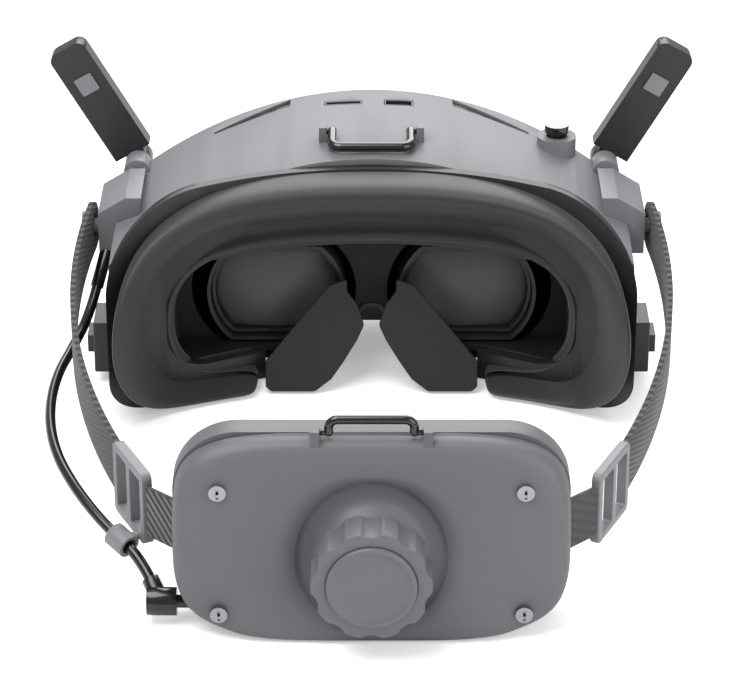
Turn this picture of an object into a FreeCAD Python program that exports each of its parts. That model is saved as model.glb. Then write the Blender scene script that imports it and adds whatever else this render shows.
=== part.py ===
import FreeCAD, Part
import math
import os
import Sketcher

# First-person-view goggles on a headband: a wide visor block with a padded face ring, two eyepieces,
# two folding antennas, and a battery pack with a tightening dial that the straps carry behind the head.
# Millimetres, +X to the wearer's right, +Y the way the wearer looks, +Z up.
# The origin lies under the middle of the whole object, on the surface that it stands on.

Vector = FreeCAD.Vector
Rotation = FreeCAD.Rotation
doc = FreeCAD.newDocument("fpv_goggles")

# ---------------------------------------------------------------- sizes
SIZES = [
    # fits
    ("seat_gap", 0.1, "gap between two fixed pieces that meet"),
    ("run_gap", 0.3, "gap between a moving piece and its neighbour"),
    ("pin_gap", 0.05, "radial clearance of a pin or shaft in its bore"),
    # housing
    ("wall", 2.0, "wall of every moulded shell"),
    ("half_width", 83.0, "half the width of the housing"),
    ("front_y", 115.5, "foremost point of the front cover"),
    ("front_radius", 127.5, "plan radius of the front cover's face"),
    ("cover_thick", 2.4, "thickness of the front cover"),
    ("cover_half", 70.0, "half the width of the front cover"),
    ("cover_low", 20.0, "lower edge of the front cover"),
    ("cover_high", 62.0, "upper edge of the front cover"),
    ("head_y", -46.5, "axis of the cylinder that the face side follows"),
    ("rear_radius", 114.0, "plan radius of the housing's rear edge"),
    ("floor_z", 9.0, "underside of the housing"),
    ("split_z", 40.0, "where the two shells meet"),
    ("crown_z", 80.5, "highest line of the housing, at crown_y"),
    ("crown_y", 108.5, "where the crown line is measured"),
    ("crown_radius", 216.0, "radius of the arched top, across"),
    ("crown_slope", 7.0, "fall of the top towards the wearer, degrees"),
    ("shoulder_radius", 30.0, "rounding of the two upper long corners"),
    ("belly_radius", 12.0, "rounding of the two lower long corners"),
    ("nose_half", 12.6, "half width of the nose recess at the underside"),
    ("nose_top", 22.5, "top of the nose recess"),
    ("nose_depth_y", 84.5, "how far forward the nose recess reaches"),
    ("nose_wall", 1.2, "wall around the nose recess"),
    # screw posts
    ("post_x", 73.0, "place of the screw posts, across"),
    ("post_rear_y", 56.5, "rear pair of screw posts"),
    ("post_front_y", 76.0, "front pair of screw posts"),
    ("post_radius", 3.6, "outer radius of a screw post"),
    ("screw_radius", 1.2, "shank radius of a housing screw"),
    ("screw_head_radius", 2.3, "head radius of a housing screw"),
    ("screw_head", 1.8, "height of a screw head"),
    ("screw_top", 49.0, "tip of a housing screw"),
    # vents, ports
    ("vent_inner_x", 27.0, "inner end of a vent"),
    ("vent_outer_x", 52.0, "outer tip of a vent"),
    ("vent_inner_y", 107.0, "fore-and-aft place of the vent's inner end"),
    ("vent_outer_y", 95.5, "fore-and-aft place of the vent's tip"),
    ("vent_wide", 4.6, "width of the vent's inner end"),
    ("vent_tip", 1.2, "width of the vent's tip"),
    ("mesh_thick", 0.8, "thickness of the vent mesh"),
    ("port_y", 104.5, "line of the two ports"),
    ("card_x", -9.4, "middle of the card slot"),
    ("card_long", 12.4, "length of the card slot's frame"),
    ("card_wide", 2.6, "width of the card slot's frame"),
    ("usb_x", 9.0, "middle of the charging socket"),
    ("usb_long", 9.6, "length of the charging socket's frame"),
    ("usb_wide", 3.8, "width of the charging socket's frame"),
    ("frame_rim", 0.6, "rim of the two port frames"),
    # face side
    ("bezel_thick", 3.4, "depth of the face frame"),
    ("pad_radius", 96.0, "plan radius of the pad's face"),
    ("pad_half", 84.3, "half the width of the face pad"),
    ("pad_top", 74.0, "top of the face pad"),
    ("pad_shoulder", 28.0, "rounding of the pad's upper corners"),
    ("pad_jowl", 15.0, "rounding of the pad's lower corners"),
    ("mouth_half", 35.0, "half the gap between the pad's two ends"),
    ("window_half", 66.0, "half the width of the pad's opening"),
    ("window_top", 43.5, "top of the pad's opening"),
    ("window_low", 10.0, "bottom of the pad's opening"),
    ("frame_top", 46.9, "top of the face frame's opening"),
    ("window_round", 14.0, "rounding of the opening's corners"),
    ("flap_thick", 2.4, "thickness of the nose flaps"),
    ("flap_top_y", 59.5, "nose flaps' upper edge, fore and aft"),
    ("flap_lean", 18.0, "lean of the nose flaps towards the wearer, degrees"),
    # eyepieces
    ("eye_x", 31.3, "half the distance between the two lenses"),
    ("eye_z", 28.8, "height of the lenses"),
    ("lens_radius", 20.0, "radius of a lens"),
    ("lens_flat", 14.3, "height of a lens's flats over its middle"),
    ("lens_thick", 4.4, "thickness of a lens"),
    ("lens_curve", 62.0, "radius of a lens's face"),
    ("cell_wall", 1.2, "wall of the lens cell"),
    ("tube_wall", 1.2, "wall of the eyepiece barrel"),
    ("tube_rear_y", 64.2, "rear face of the barrels"),
    ("tube_front_y", 93.5, "front end of the barrels"),
    ("cell_y", 66.9, "rear face of the lens cell"),
    ("cell_deep", 6.0, "depth of the lens cell"),
    ("focus_travel", 2.0, "travel of the lens each way"),
    ("eye_in", 3.0, "travel of an eyepiece inwards"),
    ("eye_out", 4.7, "travel of an eyepiece outwards"),
    ("panel_thick", 1.6, "thickness of the display"),
    ("knob_y", 82.5, "axis of the focus knobs"),
    ("knob_radius", 9.0, "radius of the focus knobs"),
    ("knob_high", 7.6, "height of the focus knobs"),
    ("stem_radius", 2.5, "radius of the focus stem"),
    ("cam_offset", 3.0, "offset of the focus stem's cam pin"),
    ("cam_radius", 0.9, "radius of the cam pin"),
    ("cam_gap", 0.18, "side clearance of the cam pin"),
    ("mask_y", 67.7, "rear face of the mask plate"),
    ("mask_thick", 2.0, "thickness of the mask plate"),
    ("rail_radius", 1.5, "radius of the eyepiece rails"),
    ("rail_z", 49.6, "height of the eyepiece rails"),
    ("rail_rear_y", 73.6, "rear rail"),
    ("rail_front_y", 85.5, "front rail"),
    ("rail_half", 64.0, "half the length of the rails"),
    ("lug_half", 6.0, "half the width of a barrel's lugs"),
    # electronics
    ("board_z", 57.0, "underside of the main board"),
    ("board_thick", 1.6, "thickness of the main board"),
    ("board_half", 54.0, "half the length of the main board"),
    ("board_rear_y", 71.5, "rear edge of the main board"),
    ("board_front_y", 94.0, "front edge of the main board"),
    ("fan_y", 84.0, "axis of the fan"),
    ("fan_radius", 9.5, "radius of the fan's blades"),
    ("fan_high", 8.4, "height of the fan housing"),
    ("fan_post", 1.2, "radius of the fan's spindle"),
    # antennas
    ("hinge_x", 77.0, "antenna hinge, across"),
    ("hinge_y", 94.5, "antenna hinge, middle of the arm"),
    ("hinge_z", 64.0, "antenna hinge, height"),
    ("arm_long", 46.0, "antenna from its hinge to its tip"),
    ("arm_wide", 13.0, "width of an antenna"),
    ("arm_thick", 6.5, "thickness of an antenna"),
    ("arm_tilt", 60.0, "angle of the raised antenna over the horizon, degrees"),
    ("knuckle_radius", 4.4, "radius of the antenna's hinge knuckle"),
    ("hinge_pin", 1.6, "radius of the antenna's hinge pin"),
    ("button_half", 3.1, "half the side of the antenna's square cap"),
    ("button_place", 32.0, "square cap's place along the antenna"),
    ("button_proud", 0.8, "how far the square cap stands out"),
    # stick and bail
    ("stick_x", 61.0, "place of the small stick, across"),
    ("stick_y", 91.0, "place of the small stick, fore and aft"),
    ("stick_z", 70.2, "pivot of the small stick"),
    ("stick_cap", 4.0, "radius of the stick's cap"),
    ("bail_y", 81.5, "hinge line of the top bail"),
    ("bail_z", 79.2, "height of the top bail's hinge line"),
    ("bail_half", 12.8, "half the width of the bail, to the arms' middle"),
    ("bail_reach", 10.2, "reach of the bail from its hinge line"),
    ("bail_wire", 1.6, "radius of the bail's bar"),
    # strap anchors and side latches
    ("anchor_x", 88.0, "outer face of a strap anchor"),
    ("anchor_low", 47.0, "lower edge of a strap anchor"),
    ("anchor_high", 65.0, "upper edge of a strap anchor"),
    ("anchor_rear_y", 56.5, "rear end of a strap anchor"),
    ("anchor_front_y", 80.5, "front end of a strap anchor"),
    ("pivot_y", 62.5, "strap pivot, fore and aft"),
    ("pivot_z", 54.5, "strap pivot, height"),
    ("stud_radius", 2.5, "radius of the strap's stud"),
    ("stud_head", 4.4, "radius of the stud's head"),
    ("latch_x", 91.2, "outer face of a side latch"),
    ("latch_y", 64.5, "middle of a side latch, fore and aft"),
    ("latch_z", 12.7, "middle of a side latch, height"),
    ("latch_long", 16.0, "length of a side latch"),
    ("latch_high", 18.0, "height of a side latch"),
    ("tab_long", 10.0, "length of the latch's press tab"),
    ("tab_high", 6.2, "height of the latch's press tab"),
    ("tab_proud", 2.3, "how far the press tab stands out"),
    ("tab_travel", 1.5, "travel of the press tab"),
    # headband
    ("strap_thick", 1.6, "thickness of the strap"),
    ("strap_wide", 17.0, "width of the strap"),
    ("strap_arc", 182.6, "plan radius of the strap"),
    ("strap_arc_x", -89.2, "centre of the right strap's plan arc, across"),
    ("strap_arc_y", 28.8, "centre of the strap's plan arc, fore and aft"),
    ("strap_end_y", -53.5, "rear end of the strap"),
    ("strap_end_z", 28.4, "height of the strap's middle at its rear end"),
    ("buckle_thick", 3.0, "thickness of the buckle"),
    ("buckle_long", 24.0, "length of the buckle"),
    ("buckle_high", 23.0, "height of the buckle"),
    ("buckle_rail", 2.6, "width of the buckle's rails and bars"),
    ("buckle_x", 69.4, "middle of the buckle, across"),
    ("buckle_y", -65.0, "middle of the buckle, fore and aft"),
    ("buckle_z", 27.5, "middle of the buckle, height"),
    ("buckle_turn", 65.0, "plan angle of the buckle's length, degrees"),
    ("webbing_thick", 1.5, "thickness of the pack's webbing"),
    ("webbing_wide", 16.2, "width of the pack's webbing"),
    ("webbing_end_x", 54.0, "inner end of the webbing, across"),
    ("webbing_end_y", -91.0, "inner end of the webbing, fore and aft"),
    ("webbing_end_z", 31.0, "inner end of the webbing, height"),
    # battery pack
    ("pack_half", 56.6, "half the width of the battery pack"),
    ("pack_high", 57.6, "height of the battery pack"),
    ("pack_face_y", -76.5, "face of the pack's shell towards the head"),
    ("pack_rear_low", -104.5, "rear face of the pack at the bottom"),
    ("pack_rear_high", -90.5, "rear face of the pack at the top"),
    ("pack_round", 19.0, "rounding of the pack's corners"),
    ("pack_split_y", -84.0, "where the pack's base and cover meet"),
    ("cushion_thick", 3.4, "thickness of the pack's cushion"),
    ("cell_half", 22.0, "half the length of one battery cell"),
    ("cell_high", 26.0, "height of a battery cell"),
    ("cell_thick", 8.0, "thickness of a battery cell"),
    ("pack_screw_x", 43.2, "pack screws, across"),
    ("pack_screw_high", 43.5, "upper pack screws, height"),
    ("pack_screw_low", 8.2, "lower pack screws, height"),
    ("loop_half", 12.0, "half the width of the pack's loop, to the arms' middle"),
    ("loop_reach", 3.9, "reach of the pack's loop from its hinge line"),
    ("loop_wire", 1.3, "radius of the pack loop's bar"),
    ("loop_y", -87.0, "hinge line of the pack's loop"),
    ("loop_z", 59.3, "height of the pack loop's hinge line"),
    # dial
    ("dial_z", 25.0, "height of the dial's axis"),
    ("dial_rear_y", -115.5, "rearmost point of the dial"),
    ("dial_radius", 17.0, "outer radius of the dial"),
    ("dial_deep", 12.0, "depth of the dial's ring"),
    ("dial_cap", 12.8, "radius of the dial's cap"),
    ("dial_shaft", 2.4, "radius of the dial's shaft"),
    ("tooth_module", 0.7, "module of the dial's pinion and racks"),
    ("pinion_teeth", 18, "teeth of the dial's pinion"),
    ("tooth_play", 0.16, "width taken off each tooth flank"),
    ("gear_thick", 3.0, "thickness of the pinion and racks"),
    ("gear_y", -90.0, "middle of the pinion and racks, fore and aft"),
    ("rack_long", 56.0, "length of a rack"),
    ("rack_high", 3.6, "height of a rack's bar"),
    # cable
    ("plug_x", -88.6, "straight plug, across"),
    ("plug_y", 49.5, "lower end of the straight plug, fore and aft"),
    ("plug_z", 38.5, "lower end of the straight plug, height"),
    ("plug_long", 15.0, "length of the straight plug"),
    ("plug_lean", 45.0, "lean of the straight plug off the upright, degrees"),
    ("plug_splay", 12.7, "lean of the straight plug towards the housing, degrees"),
    ("plug_run", 10.0, "straight length of the cable below its plug"),
    ("elbow_x", -64.4, "outer end of the barrel plug"),
    ("elbow_y", -90.5, "axis of the barrel plug, fore and aft"),
    ("elbow_z", 6.0, "axis of the barrel plug, height"),
    ("stub_reach", 7.6, "reach of the barrel plug's stub from its axis"),
    ("cable_radius", 1.65, "radius of the power cable"),
    ("clip_radius", 3.6, "outer radius of the cable's clip on the left buckle"),
    ("clip_play", 0.8, "room round the cable in its clip"),
    ("clip_long", 7.0, "length of the cable's clip"),
    ("plug_radius", 2.1, "radius of the cable's straight plug"),
    ("elbow_radius", 4.1, "radius of the cable's barrel plug"),
    ("elbow_long", 8.6, "length of the cable's barrel plug"),
    ("elbow_pin_radius", 1.9, "radius of the barrel plug's pin"),
    ("elbow_pin_long", 6.4, "length of the barrel plug's pin"),
    # smaller sizes
    ("ear_thick", 2.4, "thickness of the ears that hold a bail"),
    ("boss_ring", 2.4, "ring round the stick's cap"),
    ("boss_rise", 3.6, "top of the stick's boss over its pivot"),
    ("board_post", 2.5, "radius of the main board's posts"),
    ("pack_post", 3.4, "radius of the pack's screw posts"),
    ("pack_head", 2.6, "head radius of a pack screw"),
    ("collar_radius", 9.0, "radius of the collar under the dial"),
    ("bearing_wall", 1.2, "wall of the dial shaft's bearing"),
    ("scallop_radius", 5.2, "radius of the dial's scallops"),
    ("scallop_place", 21.0, "scallops' centres from the dial's axis"),
    ("dish_radius", 60.0, "radius of the hollow in the dial's cap"),
    ("cover_corner", 12.0, "rounding of the front cover's corners"),
    ("cushion_corner", 14.0, "rounding of the pack cushion's corners"),
    ("cushion_margin", 6.0, "pack's edge to its cushion, across"),
    ("slot_room", 1.6, "room under the webbing in its slot"),
    ("stick_rod", 1.1, "radius of the stick's rod"),
    ("stick_cap_low", 5.0, "underside of the stick's cap over its pivot"),
    ("stick_cap_high", 7.6, "top of the stick's cap over its pivot"),
    ("cutter", 500.0, "length of the tools that only cut"),
]

sheet = doc.addObject("Spreadsheet::Sheet", "Sizes")
for row, (alias, value, note) in enumerate(SIZES, 1):
    sheet.set(f"A{row}", note)
    sheet.set(f"B{row}", str(value))
    sheet.setAlias(f"B{row}", alias)
doc.recompute()


def size(alias):
    """The number that the sheet holds under this name."""
    return float(getattr(sheet, alias))


def expr(text):
    """A sheet expression, with each $name standing for a cell."""
    return str(text).replace("$", "Sizes.")


# ---------------------------------------------------------------- building helpers
TURNS = {"X": Rotation(Vector(0, 1, 0), 90), "Y": Rotation(Vector(1, 0, 0), -90), "Z": Rotation()}
PLACES = {"X": "xyz", "Y": "yxz", "Z": "zxy"}
nodes = []


def node(piece, name):
    """Names a finished piece after its node and lists it for writing."""
    piece.Label = name
    nodes.append(piece)
    return piece


def box(name, x, y, z):
    """A box between pairs of expressions along X, Y and Z."""
    piece = doc.addObject("Part::Box", name)
    for prop, place, (low, high) in zip(("Length", "Width", "Height"), "xyz", (x, y, z)):
        piece.setExpression(prop, expr(f"({high}) - ({low})"))
        piece.setExpression(f"Placement.Base.{place}", expr(low))
    return piece


def rod(name, axis, radius, start, end, u, v):
    """A cylinder along one axis from start to end; u and v place it on the other two axes in order."""
    piece = doc.addObject("Part::Cylinder", name)
    piece.Placement = FreeCAD.Placement(Vector(), TURNS[axis])
    piece.setExpression("Radius", expr(radius))
    piece.setExpression("Height", expr(f"({end}) - ({start})"))
    for place, value in zip(PLACES[axis], (start, u, v)):
        piece.setExpression(f"Placement.Base.{place}", expr(value))
    return piece


def joined(name, *pieces):
    """The union of pieces."""
    piece = doc.addObject("Part::MultiFuse", name)
    piece.Shapes = list(pieces)
    return piece


def common(name, *pieces):
    """What all the pieces share."""
    piece = doc.addObject("Part::MultiCommon", name)
    piece.Shapes = list(pieces)
    return piece


def cut(name, base, *tools):
    """The base without the tools."""
    piece = doc.addObject("Part::Cut", name)
    piece.Base = base
    piece.Tool = tools[0] if len(tools) == 1 else joined(f"{name}_tools", *tools)
    return piece


def mirrored(name, source):
    """The left-hand copy of a right-hand piece."""
    piece = doc.addObject("Part::Mirroring", name)
    piece.Source = source
    piece.Normal = Vector(1, 0, 0)
    return piece


def feature(name, shape):
    """A piece whose shape is made with Part's own functions."""
    piece = doc.addObject("Part::Feature", name)
    piece.Shape = shape
    return piece


def plane_of(body, role):
    """One of a body's own origin planes."""
    return next(item for item in body.Origin.OriginFeatures if item.Role == role)


def value(text):
    """The number that an expression of the sheet's names gives."""
    return float(sheet.evalExpression(expr(text)))


def add_loop(sketch, loop):
    """Adds one closed polygon, each corner held from the origin by two bound distances."""
    first = sketch.GeometryCount
    count = len(loop)
    corners = [Vector(value(across), value(up), 0) for across, up in loop]
    for index, corner in enumerate(corners):
        sketch.addGeometry(Part.LineSegment(corner, corners[(index + 1) % count]), False)
    for index in range(count):
        following = first + (index + 1) % count
        sketch.addConstraint(Sketcher.Constraint("Coincident", first + index, 2, following, 1))
    for index, (pair, corner) in enumerate(zip(loop, corners)):
        for kind, text, number in (("DistanceX", pair[0], corner.x), ("DistanceY", pair[1], corner.y)):
            held = Sketcher.Constraint(kind, -1, 1, first + index, 1, number)
            sketch.setExpression(f"Constraints[{sketch.addConstraint(held)}]", expr(text))


def sketch_on(body, plane, name, offset="0"):
    """An empty sketch on one of the body's own planes; XZ sketches face -Y, and so does their offset."""
    sketch = body.newObject("Sketcher::SketchObject", name)
    sketch.AttachmentSupport = [(plane_of(body, f"{plane}_Plane"), "")]
    sketch.MapMode = "FlatFace"
    sketch.setExpression("AttachmentOffset.Base.z", expr(offset))
    return sketch


def profile(name, plane, outline, start, end, *holes):
    """A body padded from start to end along the plane's normal; its outline and holes are expressions."""
    body = doc.addObject("PartDesign::Body", name)
    sketch = sketch_on(body, plane, f"{name}_outline", f"-({end})" if plane == "XZ" else start)
    for loop in (outline, *holes):
        add_loop(sketch, loop)
    pad = body.newObject("PartDesign::Pad", f"{name}_pad")
    pad.Profile = sketch
    pad.setExpression("Length", expr(f"({end}) - ({start})"))
    doc.recompute()
    return body


def rounded(body, radius, axis, keep):
    """Rounds the straight edges of a body that run along an axis and whose middles pass keep."""
    names = []
    for index, edge in enumerate(body.Tip.Shape.Edges, 1):
        middle = edge.CenterOfMass
        along = edge.Vertexes[-1].Point - edge.Vertexes[0].Point
        if along.Length > 0.01 and abs(along.normalize().dot(axis)) > 0.999 and keep(middle):
            names.append(f"Edge{index}")
    fillet = body.newObject("PartDesign::Fillet", f"{body.Name}_round{len(body.Group)}")
    fillet.Base = (body.Group[-2], names)
    fillet.setExpression("Radius", expr(radius))
    doc.recompute()
    return body


def rectangle(low_x, high_x, low_y, high_y):
    """The four corners of a rectangle, as expression pairs."""
    return [(low_x, low_y), (high_x, low_y), (high_x, high_y), (low_x, high_y)]


def place(piece, x="0", y="0", z="0", turn=None, angle="0"):
    """Places a piece by expressions, turned about an axis by an angle in degrees."""
    if turn:
        piece.Placement = FreeCAD.Placement(Vector(), Rotation(turn, 30))
        piece.setExpression("Placement.Rotation.Angle", expr(angle))
    for name, text in zip("xyz", (x, y, z)):
        piece.setExpression(f"Placement.Base.{name}", expr(text))
    return piece


X_AXIS = Vector(1, 0, 0)
Y_AXIS = Vector(0, 1, 0)
Z_AXIS = Vector(0, 0, 1)

# ---------------------------------------------------------------- housing
FRONT_CENTRE = "$front_y - $front_radius"


def crown(name, radius):
    """The great cylinder that the arched top follows; it rises away from the wearer."""
    piece = doc.addObject("Part::Cylinder", name)
    piece.setExpression("Radius", expr(radius))
    piece.setExpression("Height", expr("$cutter"))
    return place(piece, "0",
                 "$crown_y + $crown_radius * sin($crown_slope) - $cutter / 2 * cos($crown_slope)",
                 "$crown_z - $crown_radius * cos($crown_slope) - $cutter / 2 * sin($crown_slope)",
                 -X_AXIS, "90 - $crown_slope")


def block(name, inset):
    """The housing's outer form, drawn in by an inset; its face side is left long."""
    half = f"($half_width - ({inset}))"
    core = profile(f"{name}_core", "XZ",
                   rectangle(f"-{half}", half, f"$floor_z + ({inset})", f"$crown_z + 1 - ({inset})"),
                   "$head_y + 60", "$front_y + 5")
    middle_z = value("$crown_z / 2")
    rounded(core, f"$shoulder_radius - ({inset})", Y_AXIS, lambda middle: middle.z > middle_z)
    rounded(core, f"$belly_radius - ({inset})", Y_AXIS,
            lambda middle: middle.z < middle_z and abs(middle.x) > value(f"{half} - 1"))
    front = rod(f"{name}_front", "Z", f"$front_radius - $cover_thick - $seat_gap - ({inset})",
                "0", "$crown_z + 10", "0", FRONT_CENTRE)
    return common(name, core, front, crown(f"{name}_crown", f"$crown_radius - ({inset})"))


def nose_prism(name, grow, depth):
    """A ridge-shaped prism along Y for the nose recess, grown outwards."""
    wide = f"$nose_half + ({grow})"
    return profile(name, "XZ",
                   [(f"-({wide})", "$floor_z - 3"), (wide, "$floor_z - 3"), (wide, "$floor_z"),
                    (f"2 + ({grow})", f"$nose_top + ({grow})"), (f"-2 - ({grow})", f"$nose_top + ({grow})"),
                    (f"-({wide})", "$floor_z")],
                   "0", depth)


outer_block = block("outer_block", "0")
inner_block = block("inner_block", "$wall")
seat_block = block("seat_block", "-$seat_gap")
rear_drum = rod("rear_drum", "Z", "$rear_radius", "-5", "$crown_z + 20", "0", "$head_y")
hull = cut("hull", outer_block, rear_drum)
nose_outer = nose_prism("nose_outer", "$nose_wall", "$nose_depth_y + $nose_wall")
nose_inner = nose_prism("nose_inner", "0", "$nose_depth_y")
upper_space = box("upper_space", ("-150", "150"), ("-150", "150"), ("$split_z + $seat_gap / 2", "150"))
lower_space = box("lower_space", ("-150", "150"), ("-150", "150"), ("-50", "$split_z - $seat_gap / 2"))
inside = common("inside", hull, inner_block)


def both_sides(name, right):
    """A right-hand piece with its left-hand copy."""
    return joined(name, right, mirrored(f"{name}_copy", right))


def four_posts(name, radius, low, high):
    """One rod at each of the four screw places of the housing."""
    rods = [rod(f"{name}_{tag}", "Z", radius, low, high, "$post_x", f"$post_{tag}_y")
            for tag in ("rear", "front")]
    return both_sides(name, joined(f"{name}_right", *rods))


skin = cut("skin", hull, inner_block)
posts = common("posts", four_posts("post_rods", "$post_radius", "$floor_z", "$crown_z + 5"), hull)
screw_bores = four_posts("screw_bores", "$screw_radius + $pin_gap", "$floor_z - 1", "$screw_top + 1")
head_wells = four_posts("head_wells", "$screw_head_radius + $seat_gap", "$floor_z - 1",
                        "$floor_z + $screw_head + 1 + $seat_gap")

# ---------------------------------------------------------------- bottom shell
knob_slot = box("knob_slot",
                ("$eye_x - $eye_in - $stem_radius - $run_gap", "$eye_x + $eye_out + $stem_radius + $run_gap"),
                ("$knob_y - $stem_radius - $run_gap", "$knob_y + $stem_radius + $run_gap"),
                ("$floor_z - 1", "$floor_z + $wall + 1"))
nose_walls = common("nose_walls", hull, nose_outer)
bottom_whole = common("bottom_whole", joined("bottom_mass", skin, posts, nose_walls), lower_space)
node(cut("bottom_shell_piece", bottom_whole, nose_inner, both_sides("knob_slots", knob_slot), screw_bores,
         head_wells), "bottom_shell")


def screw(name, tag):
    """One housing screw: a round head and its shank."""
    head = rod(f"{name}_head", "Z", "$screw_head_radius", "$floor_z + 1", "$floor_z + 1 + $screw_head",
               "$post_x", f"$post_{tag}_y")
    shank = rod(f"{name}_shank", "Z", "$screw_radius", "$floor_z + 1 + $screw_head", "$screw_top",
                "$post_x", f"$post_{tag}_y")
    return joined(name, head, shank)


node(both_sides("screws", joined("screws_right", screw("screw_rear", "rear"), screw("screw_front", "front"))),
     "housing_screws")

# ---------------------------------------------------------------- top shell
VENT = [("$vent_inner_x", "$vent_inner_y - $vent_wide / 2"),
        ("$vent_outer_x", "$vent_outer_y - $vent_tip / 2"),
        ("$vent_outer_x", "$vent_outer_y + $vent_tip / 2"),
        ("$vent_inner_x", "$vent_inner_y + $vent_wide / 2")]
MESH = [("$vent_inner_x + $seat_gap", "$vent_inner_y - $vent_wide / 2 + $seat_gap * 2"),
        ("$vent_outer_x - $seat_gap", "$vent_outer_y - $vent_tip / 2 + $seat_gap"),
        ("$vent_outer_x - $seat_gap", "$vent_outer_y + $vent_tip / 2 - $seat_gap"),
        ("$vent_inner_x + $seat_gap", "$vent_inner_y + $vent_wide / 2 - $seat_gap * 2")]
vent_cut = profile("vent_cut", "XY", VENT, "$split_z + 20", "$crown_z + 5")
mesh_prism = profile("mesh_prism", "XY", MESH, "$split_z + 20", "$crown_z + 5")
mesh_right = cut("mesh_right", common("mesh_top", mesh_prism,
        crown("mesh_outer", "$crown_radius - $mesh_thick")),
                 crown("mesh_inner", "$crown_radius - $mesh_thick * 2"))
node(both_sides("meshes", mesh_right), "vent_grilles")


def port(name, tag, grow, low):
    """An upright box round one port, grown by a margin."""
    return box(name, (f"${tag}_x - ${tag}_long / 2 - ({grow})", f"${tag}_x + ${tag}_long / 2 + ({grow})"),
               (f"$port_y - ${tag}_wide / 2 - ({grow})", f"$port_y + ${tag}_wide / 2 + ({grow})"),
               (low, "$crown_z + 5"))


def port_frame(tag):
    """The rim of one port, flush with the top."""
    rim = cut(f"{tag}_rim", port(f"{tag}_outside", tag, "0", "$crown_z - 5"),
              port(f"{tag}_opening", tag, "-$frame_rim", "$crown_z - 6"))
    return common(f"{tag}_frame", rim, crown(f"{tag}_crown", "$crown_radius"))


node(joined("frames", port_frame("card"), port_frame("usb")), "port_frames")


def ears(name, half, hinge_y, hinge_z, low, wire):
    """Two ears that hold the ends of a bail, with their bores."""
    ear = box(f"{name}_right", (f"{half} + {wire} + $run_gap", f"{half} + {wire} + $run_gap + $ear_thick"),
              (f"{hinge_y} - {wire} - 1", f"{hinge_y} + {wire} + 1"), (low, f"{hinge_z} + {wire} + 0.6"))
    bore = rod(f"{name}_bore", "X", f"{wire} * 0.7 + $pin_gap", f"{half}", f"{half} + 9", hinge_y, hinge_z)
    return both_sides(name, cut(f"{name}_bored", ear, bore))


top_ears = ears("top_ears", "$bail_half", "$bail_y", "$bail_z", "$crown_z - 6", "$bail_wire")
stick_boss = rod("stick_boss", "Z", "$stick_cap + $boss_ring", "$stick_z - 6", "$stick_z + $boss_rise",
        "$stick_x",
                 "$stick_y")
stick_well = rod("stick_well", "Z", "$stick_cap - 0.6", "$stick_z - 1.7", "$stick_z + $boss_rise + 1",
        "$stick_x",
                 "$stick_y")
board_rods = [rod(f"board_post_{across}", "Z", "$board_post", "$board_z + $board_thick + $seat_gap",
        "$crown_z + 5",
                  across, place_y)
              for across, place_y in (("44", "$board_rear_y + 4.5"), ("38", "$board_front_y - 3.5"))]
board_posts = common("board_posts", both_sides("board_rods", joined("board_rods_right", *board_rods)), hull)
top_whole = common("top_whole", joined("top_mass", skin, posts), upper_space)
top_full = joined("top_full", top_whole, top_ears, stick_boss, board_posts)
node(cut("top_shell_piece", top_full, both_sides("vent_cuts", vent_cut), screw_bores, stick_well,
         port("card_hole", "card", "$seat_gap", "$crown_z - 12"),
                 port("usb_hole", "usb", "$seat_gap", "$crown_z - 12")),
     "top_shell")

# ---------------------------------------------------------------- front cover
cover_plate = profile("cover_plate", "XZ", rectangle("-$cover_half", "$cover_half", "$cover_low",
        "$cover_high"),
                      "$front_y - 60", "$front_y + 5")
rounded(cover_plate, "$cover_corner", Y_AXIS, lambda middle: True)
cover_ring = cut("cover_ring", rod("cover_outer", "Z", "$front_radius", "0", "90", "0", FRONT_CENTRE),
                 rod("cover_inner", "Z", "$front_radius - $cover_thick", "-1", "91", "0", FRONT_CENTRE))
node(common("front_cover_piece", cover_plate, cover_ring), "front_cover")

# ---------------------------------------------------------------- face side
BEZEL_OUTER = "$rear_radius - $seat_gap"
BEZEL_INNER = "$rear_radius - $bezel_thick"
FACE_START = "$head_y + 30"


def drum_ring(name, outer, inner):
    """A tall ring about the wearer's head axis."""
    return cut(name, rod(f"{name}_outer", "Z", outer, "0", "$crown_z + 10", "0", "$head_y"),
               rod(f"{name}_inner", "Z", inner, "-1", "$crown_z + 11", "0", "$head_y"))


def face_form(name, inset, low, top, window_top):
    """The outline of the face ring, with its window and the gap for the nose."""
    half = f"$pad_half - ({inset})"
    form = profile(f"{name}_form", "XZ", rectangle(f"-({half})", half, low, top), FACE_START, "$front_y")
    rounded(form, "$pad_shoulder", Y_AXIS, lambda middle: middle.z > value("$pad_top / 2"))
    rounded(form, "$pad_jowl", Y_AXIS, lambda middle: middle.z < value(f"{low} + 1") and abs(middle.x) > 60)
    window = profile(f"{name}_window", "XZ",
                     rectangle("-$window_half", "$window_half", "$window_low", window_top),
                     "$head_y + 25", "$front_y + 5")
    rounded(window, "$window_round", Y_AXIS, lambda middle: True)
    mouth = box(f"{name}_mouth", ("-$mouth_half", "$mouth_half"), (FACE_START + " - 1", "$front_y + 1"),
                ("-1", "$window_low + 2"))
    return cut(name, form, window, mouth)


node(common("face_frame_piece", face_form("frame_form", "0.6", "0.6", "$pad_top - 0.6", "$frame_top"),
            drum_ring("bezel_ring", BEZEL_OUTER, BEZEL_INNER)), "face_frame")
node(common("face_pad_piece", face_form("pad_form", "0", "0", "$pad_top", "$window_top"),
            drum_ring("pad_ring", BEZEL_INNER + " - $seat_gap", "$pad_radius")), "face_pad")

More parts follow.
